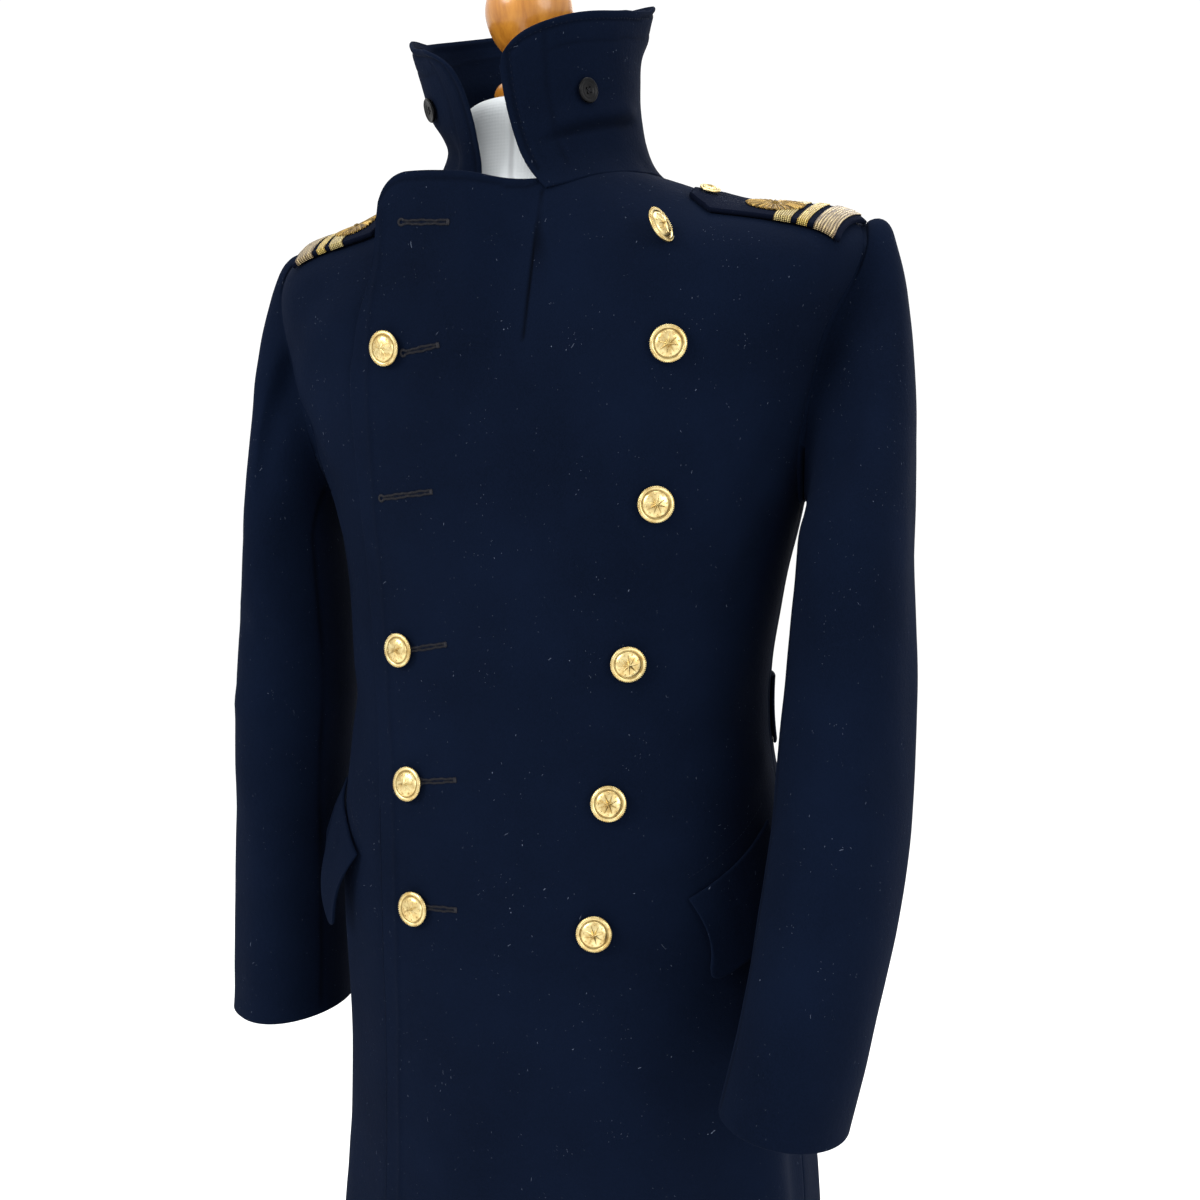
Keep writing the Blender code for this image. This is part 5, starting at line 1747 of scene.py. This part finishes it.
# The coat's button: a stamped dome with a roped rim, an inner line and a plain eight-point star
coatButton = {
    "body": [(0.20, 0.0), (0.22, 0.10), (0.86, 0.13), (0.93, 0.15), (0.985, 0.20), (1.0, 0.25), (0.985, 0.30),
             (0.94, 0.330), (0.90, 0.348), (0.86, 0.358), (0.82, 0.352), (0.79, 0.325), (0.77,
                     0.298), (0.745, 0.298),
             (0.725, 0.330), (0.70, 0.368), (0.62, 0.415), (0.50, 0.455), (0.36, 0.480), (0.20,
                     0.492), (0.05, 0.495)],
    "ropeAt": 0.955, "ropeHeight": 0.315, "ropeBeads": 54, "ropeBead": (0.062, 0.030,
            0.042), "ropeLean": 35.0,
    "starReach": 0.56, "starFoot": 0.462, "starRise": 0.150, "starWaist": 0.40,
    "pelletAt": 0.585, "pelletHeight": 0.440, "pelletSize": (0.048, 0.048, 0.044),
}
faceRadius = buttonRadius


def coatButtonMaster():
    size = coatButton
    body = turned("coatButton", [(r * faceRadius, h * faceRadius) for r, h in size["body"]], 96, gilt)
    smoothAngles(body, 50)
    bead = ball("ropeBead", tuple(v * faceRadius for v in size["ropeBead"]), (0, 0, 0), gilt, 8, 6)
    parts = [body]
    for k in range(size["ropeBeads"]):
        a = 2 * math.pi * k / size["ropeBeads"]
        place = Matrix.Rotation(a, 4, "Z") @ Matrix.Translation((size["ropeAt"] * faceRadius, 0,
                size["ropeHeight"] * faceRadius))
        parts.append(copyTo(bead, "ropeBead", place @ Matrix.Rotation(math.radians(size["ropeLean"]), 4,
                "Z")))
    bpy.data.objects.remove(bead)
    low = size["starFoot"] * faceRadius
    bpy.ops.mesh.primitive_cone_add(vertices=16, radius1=size["starReach"] * faceRadius, radius2=0,
            depth=size["starRise"] * faceRadius,
                                    location=(0, 0, low + size["starRise"] * faceRadius / 2))
    star = bpy.context.object
    bpy.ops.object.transform_apply(location=True)
    for vertex in star.data.vertices:
        turn = round(math.degrees(math.atan2(vertex.co.x, vertex.co.y)) / 22.5) % 2
        vertex.select = vertex.co.z < low + 0.01 * faceRadius and turn == 1
    for item in list(star.data.edges) + list(star.data.polygons):
        item.select = False
    bpy.ops.object.mode_set(mode="EDIT")
    bpy.ops.transform.resize(value=(size["starWaist"], size["starWaist"], 1), center_override=(0, 0, low))
    bpy.ops.object.mode_set(mode="OBJECT")
    star.data.materials.append(gilt)
    parts.append(star)
    clearPick()
    pellet = ball("pellet", tuple(v * faceRadius for v in size["pelletSize"]), (0, 0, 0), gilt)
    for k in range(8):
        a = 2 * math.pi * (k + 0.5) / 8
        place = Matrix.Rotation(a, 4, "Z") @ Matrix.Translation((0, size["pelletAt"] * faceRadius,
                size["pelletHeight"] * faceRadius))
        parts.append(copyTo(pellet, "pellet", place))
    bpy.data.objects.remove(pellet)
    return joined("coatButton", parts)


def surfaceOf(name):
    mesh = pieces[name].data
    return BVHTree.FromPolygons([v.co for v in mesh.vertices], [p.vertices for p in mesh.polygons])


def seatOn(tree, near, outward, spread=0.006):
    # the finished cloth's outer face nearest to a place, and the way it faces round there
    near, outward = Vector(near), Vector(outward).normalized()
    middle = tree.ray_cast(near + outward * 0.02, -outward)
    side = outward.orthogonal().normalized()
    other = outward.cross(side)
    around = []
    for k in range(6):
        a = math.pi * k / 3
        hit = tree.ray_cast(near + (side * math.cos(a) + other * math.sin(a)) * spread + outward * 0.02,
                            -outward)
        if hit[0] is not None:
            around.append(hit[0])
    normal = outward
    if len(around) == 6:
        normal = sum(((around[k] - middle[0]).cross(around[(k + 1) % 6] - middle[0]) for k in range(6)),
                     Vector())
        normal = normal.normalized()
        normal = -normal if normal.dot(outward) < 0 else normal
    return middle[0], normal


trees = {name: surfaceOf(name) for name in ("coat_front_left", "coat_front_right", "coat_collar")}


def onFront(x, height):
    point = frontPlace(x, height)
    ahead = leftAt(x, levelOf(height, x))[1]
    return seatOn(trees["coat_front_left"], point, ahead)


master = coatButtonMaster()
faceTurns = {"left": (12, -8, 31, 5, -22, 17), "right": (0, -14, 0, 26, 9, -18)}
buttonPieces = []
for number, (height, leftX, rightX) in enumerate(buttonRows, start=1):
    for sideName, x in (("left", leftX), ("right", -rightX)):
        if not x:
            continue
        place, normal = onFront(x, height)
        turn = faceTurns[sideName][number - 1]
        name = f"gilt_button_{sideName}_{number}"
        if (sideName, number) == floppedButton:
            axis = Vector(flopAxis).normalized()
            rimHeight, rim = 0.36, 0.93
            tilt = axis.angle(normal)
            lift = faceRadius * (rim * math.sin(tilt) - rimHeight * math.cos(tilt)) - flopSink
            at = place + normal * lift
        else:
            # each hangs from its thread a little differently
            lean = Vector((math.sin(turn), 0.3 * math.cos(3 * turn), math.cos(2 * turn))) * 0.035
            axis = (normal + lean).normalized()
            at = place + axis * lieGap
        made = copyTo(master, name, axesAt(at, axis, (0, 0, 1), turn))
        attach(made, "root")
        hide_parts(f"button_{sideName}_{number}")
        buttonPieces.append(made)
        if (sideName, number) == floppedButton:
            flopAt, flopPlace, flopNormal, flopAxisNow = at, place, normal, axis
for side, sideName in ((1, "left"), (-1, "right")):
    place, normal = onShoulder(side, *strapButtonPlaces[side], strapThickness)
    small = Matrix.Diagonal((strapButtonRadius / faceRadius,) * 3 + (1,))
    made = copyTo(master, "gilt_strap_button_" + sideName, axesAt(place + normal * lieGap, normal, (1, 0,
            0), 20 * side) @ small)
    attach(made, "root")
    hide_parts("strap_button_" + sideName)
bpy.data.objects.remove(master)


def strand(name, start, end, radius, finish):  # a short length of thread between two places
    start, end = Vector(start), Vector(end)
    piece = ball(name, (radius, radius, (end - start).length / 2 + radius), (0, 0, 0), finish, 8, 8)
    turn = (end - start).to_track_quat("Z", "Y").to_matrix().to_4x4()
    piece.data.transform(Matrix.Translation((start + end) / 2) @ turn)
    return piece


shank = []
for k in range(5):
    aside = Vector((math.cos(2.1 * k), 0.2, math.sin(2.1 * k))) * 0.0011
    shank.append(strand("buttonThread", flopPlace + aside - flopNormal * 0.001,
                        flopAt + flopAxisNow * 0.0012 + aside * 0.5, 0.00035, darkThread))
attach(joined("flopped_button_thread", shank), "root")


# Collar buttons of black horn: a raised rim, a dished middle and four holes sewn across
hornButton = {
    "profile": [(0.75, 0.0), (0.93, 0.06), (0.99, 0.16), (1.0, 0.24), (0.98, 0.31), (0.93, 0.355),
                (0.86, 0.36),
                (0.78, 0.335), (0.70, 0.300), (0.62, 0.292), (0.57, 0.305), (0.53, 0.300), (0.49,
                        0.272), (0.30, 0.262), (0.05, 0.260)],
    "holeAt": 0.20, "holeSize": 0.095,
}


def hornButtonMaster():
    r = collarButtonRadius
    body = turned("hornButton", [(a * r, h * r) for a, h in hornButton["profile"]], 64, horn)
    for k in range(4):
        a = math.pi / 4 + math.pi / 2 * k
        bpy.ops.mesh.primitive_cylinder_add(vertices=16, radius=hornButton["holeSize"] * r, depth=r,
                                            location=(math.cos(a) * hornButton["holeAt"] * r * 1.3,
                                                    math.sin(a) * hornButton["holeAt"] * r * 1.3, 0.1 * r))
        drill = bpy.context.object
        clearPick()
        body.select_set(True)
        bpy.context.view_layer.objects.active = body
        cut = body.modifiers.new("hole", "BOOLEAN")
        cut.operation, cut.solver, cut.object = "DIFFERENCE", "EXACT", drill
        bpy.ops.object.modifier_apply(modifier="hole")
        bpy.data.objects.remove(drill)
    smoothAngles(body, 40)
    away = hornButton["holeAt"] * r * 1.3 / math.sqrt(2)
    parts = [body]
    for first, last in (((-1, -1), (1, 1)), ((-1, 1), (1, -1))):
        for shift in (-0.00018, 0.00018):
            start = (first[0] * away + shift, first[1] * away, 0.30 * r)
            end = (last[0] * away + shift, last[1] * away, 0.30 * r)
            parts.append(strand("hornThread", start, end, 0.00022, darkThread))
    return joined("hornButton", parts)


collarButtonLean = {"collar_button_left": 9.0, "collar_button_right": 4.0}
master = hornButtonMaster()
for name, share, rise in collarButtons:
    step = 0.01
    point = collarPoint(share, rise)
    roundIt = collarPoint(share + step, rise) - collarPoint(share - step, rise)
    upIt = collarPoint(share, rise + step) - collarPoint(share, rise - step)
    axis = roundIt.cross(upIt).normalized()
    place, normal = seatOn(trees["coat_collar"], point, axis)
    # each leans a little on its thread
    lean = Matrix.Rotation(math.radians(collarButtonLean[name]), 3, "Z")
    lift = lieGap + collarButtonRadius * 0.75 * math.sin(math.radians(abs(collarButtonLean[name])))
    made = copyTo(master, "horn_" + name, axesAt(place + normal * lift, lean @ normal, (0, 0, 1), 24))
    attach(made, "root")
    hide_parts(name)
bpy.data.objects.remove(master)


# Buttonholes and hand stitching

print("stage: stitches")
buttonholes = [  # left end and right end, x and height
    ((-0.0847, 1.4163), (-0.0487, 1.4139)),
    ((-0.0841, 1.3263), (-0.0573, 1.3310)),
    ((-0.1032, 1.2221), (-0.0612, 1.2273)),
    ((-0.0796, 1.1116), (-0.0500, 1.1180)),
    ((-0.0669, 1.0159), (-0.0392, 1.0207)),
    ((-0.0600, 0.9250), (-0.0345, 0.9275)),
]
holeStitch = {"apart": 0.00105, "aside": 0.00125, "size": (0.00100, 0.00044, 0.00060), "eyelet": 0.0022}


def threadPiece(name, places, size, finish):  # places are matrices
    master = ball(name, size, (0, 0, 0), finish, 8, 5)
    made = joined(name, [copyTo(master, name, place) for place in places])
    bpy.data.objects.remove(master)
    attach(made, "root")
    return made


for number, (start, end) in enumerate(buttonholes, start=1):
    count = 12
    run = []
    for k in range(count + 1):
        t = k / count
        place, normal = onFront(start[0] + (end[0] - start[0]) * t, start[1] + (end[1] - start[1]) * t)
        run.append((place, normal))
    length = sum((run[k + 1][0] - run[k][0]).length for k in range(count))

    def along(t):
        at = max(0.0, min(count - 1e-6, t * count))
        k, f = int(at), at - int(at)
        return run[k][0].lerp(run[k + 1][0], f), run[k][1].lerp(run[k + 1][1],
                f).normalized(), (run[k + 1][0] - run[k][0]).normalized()

    places = []
    steps = int(length / holeStitch["apart"])
    for k in range(steps + 1):
        place, normal, ahead = along(k / steps)
        aside = normal.cross(ahead)
        for way in (1, -1):
            jitter = 0.00022 * math.sin(12.9 * k + 3 * way) + 0.00018 * math.sin(0.9 * k + number)
            at = place + aside * way * (holeStitch["aside"] + jitter) + normal * 0.00025
            places.append(axesAt(at, normal, aside, 14 * way))
    first, normal, ahead = along(0.0)
    centre = first - ahead * holeStitch["eyelet"] * 0.6
    aside = normal.cross(ahead)
    for k in range(15):
        a = math.radians(45 + 270 * k / 14)
        out = ahead * math.cos(a) + aside * math.sin(a)
        places.append(axesAt(centre + out * holeStitch["eyelet"] + normal * 0.00025, normal, out))
    last, normal, ahead = along(1.0)
    for k in range(5):
        shift = (k - 2) * 0.00045
        places.append(axesAt(last + ahead * (0.0004 + shift * 0.9) + normal * 0.0003, normal,
                             normal.cross(ahead)) @ Matrix.Diagonal((2.2, 0.9, 1, 1)))
    threadPiece(f"buttonhole_{number}", places, holeStitch["size"], darkThread)
    # dark navy strands along the buttonhole's cut: painted shade standing in for the opening of the slit
    slitShade = []
    for k in range(count):
        slitShade.append(strand("slitShade", run[k][0] - run[k][1] * 0.0001, run[k + 1][0] - run[k + 1][1] * 0.0001,
                           0.0003, navyThread))
    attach(joined(f"buttonhole_slit_shade_{number}", slitShade), "root")


def stitchLine(name, run, apart, size, finish, sink=0.0001):
    # run is (place, normal) pairs close together
    away = [0.0]
    for low, high in zip(run, run[1:]):
        away.append(away[-1] + (high[0] - low[0]).length)
    places = []
    at = apart
    k = 0
    while at < away[-1] - apart / 2:
        while away[k + 1] < at:
            k += 1
        f = (at - away[k]) / (away[k + 1] - away[k])
        place = run[k][0].lerp(run[k + 1][0], f)
        normal = run[k][1].lerp(run[k + 1][1], f).normalized()
        places.append(axesAt(place + normal * sink, normal, run[k + 1][0] - run[k][0],
                             3 * math.sin(at * 9000)))
        at += apart
    return threadPiece(name, places, size, finish)


# The collar's edge is hand stitched close in, in thread of the cloth's own colour
edgeSewing = []
for r in range(collarCloth["baseRows"] + 3, rowsHigh - 3):
    edgeSewing.append(onGrid(collarShape, r, 2.5, cloth / 2))
for c in range(3, columnsRound - 4):
    edgeSewing.append(onGrid(collarShape, rowsHigh - 3.6, c, cloth / 2))
stitchLine("collar_edge_sewing", edgeSewing, 0.0040, (0.0010, 0.00020, 0.00014), navyThread)


for side in ("left", "right"):
    stitchLine("flap_welt_sewing_" + side, welts[side], 0.0034, (0.0012, 0.00022, 0.00018), navyThread)

# Dress form

print("stage: dress form")


formSeam = 7.0  # the canvas cover is seamed a little to the left of centre front, in degrees


def fineTorso():
    rings = []
    for low, high in zip(torsoLevels, torsoLevels[1:]):
        count = max(1, round((high - low) / 0.14))
        rings += [("coat", low + (high - low) * k / count) for k in range(count)]
    rings.append(("coat", torsoLevels[-1]))
    steps = 5
    for k in range((len(neckRings) - 1) * steps + 1):
        rings.append(("neck", k / steps))
    segments = 180
    made = turned("dress_form_torso", [(1.0, float(k)) for k in range(len(rings))], segments, canvas)
    mesh = made.data
    seam = mesh.attributes.new("seam", "FLOAT", "POINT")
    for vertex in mesh.vertices:
        kind, at = rings[round(vertex.co.z)]
        degrees = math.degrees(math.atan2(vertex.co.x, -vertex.co.y))
        if kind == "coat":
            point = onBody(degrees, at) - bodyNormal(degrees, at) * slackAt(at)
            if at == torsoLevels[0]:
                point.z = torsoBottom
        else:
            front, back, radius = [smoothBetween(column, at) for column in zip(*neckRings)]
            a = math.radians(degrees)
            radius -= 0.0006 * math.exp(-(((degrees - formSeam) / 1.7) ** 2))
            point = Vector((neckCentre[0] + radius * math.sin(a), neckCentre[1] - radius * math.cos(a),
                            (front + back) / 2 + (front - back) / 2 * math.cos(a)))
        vertex.co = point
        # painted shade along the cover's seam, written as the seam attribute
        seam.data[vertex.index].value = 0.6 * math.exp(-(((degrees - formSeam) / 1.7) ** 2))
    clearPick()
    bpy.context.view_layer.objects.active = made
    made.select_set(True)
    bpy.ops.object.mode_set(mode="EDIT")
    bpy.ops.mesh.select_all(action="SELECT")
    bpy.ops.mesh.normals_make_consistent(inside=False)
    bpy.ops.object.mode_set(mode="OBJECT")
    clearPick()
    smoothAngles(made, 50)
    return made


torso = fineTorso()
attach(torso, "root")
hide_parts("form_torso")
top = neckRings[-1][0]
steps = 5
finial = []
for k in range((len(finialProfile) - 1) * steps + 1):
    height, radius = [smoothBetween(column, k / steps) for column in zip(*finialProfile)]
    finial.append((max(0.001, radius), height))
finial += [(0.0025, 0.10035), (0.0008, 0.1005)]
knob = turned("turned_finial", finial, 72, varnish)
knob.data.transform(Matrix.Translation((neckCentre[0], neckCentre[1], top)))
smoothAngles(knob, 60)
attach(knob, "root")
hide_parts("form_finial")
stand = [(0.180, 0.0), (0.186, 0.0006), (0.1885, 0.002), (0.190, 0.005), (0.190, 0.0120), (0.1885, 0.0155),
         (0.184, 0.0182),
         (0.178, 0.0200), (0.120, 0.0236), (0.064, 0.0262), (0.057, 0.0270), (0.052, 0.0300), (0.045,
                 0.0330), (0.036, 0.0385), (0.0285, 0.0450),
         (0.0225, 0.0540), (0.0165, 0.0640), (0.0132, 0.0700), (poleRadius, 0.0760), (poleRadius,
                 0.400), (poleRadius, torsoBottom - lieGap)]
pole = turned("turned_stand", stand, 96, varnish)
smoothAngles(pole, 35)
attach(pole, "root")
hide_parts("form_stand")


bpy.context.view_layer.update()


print("stage: done")
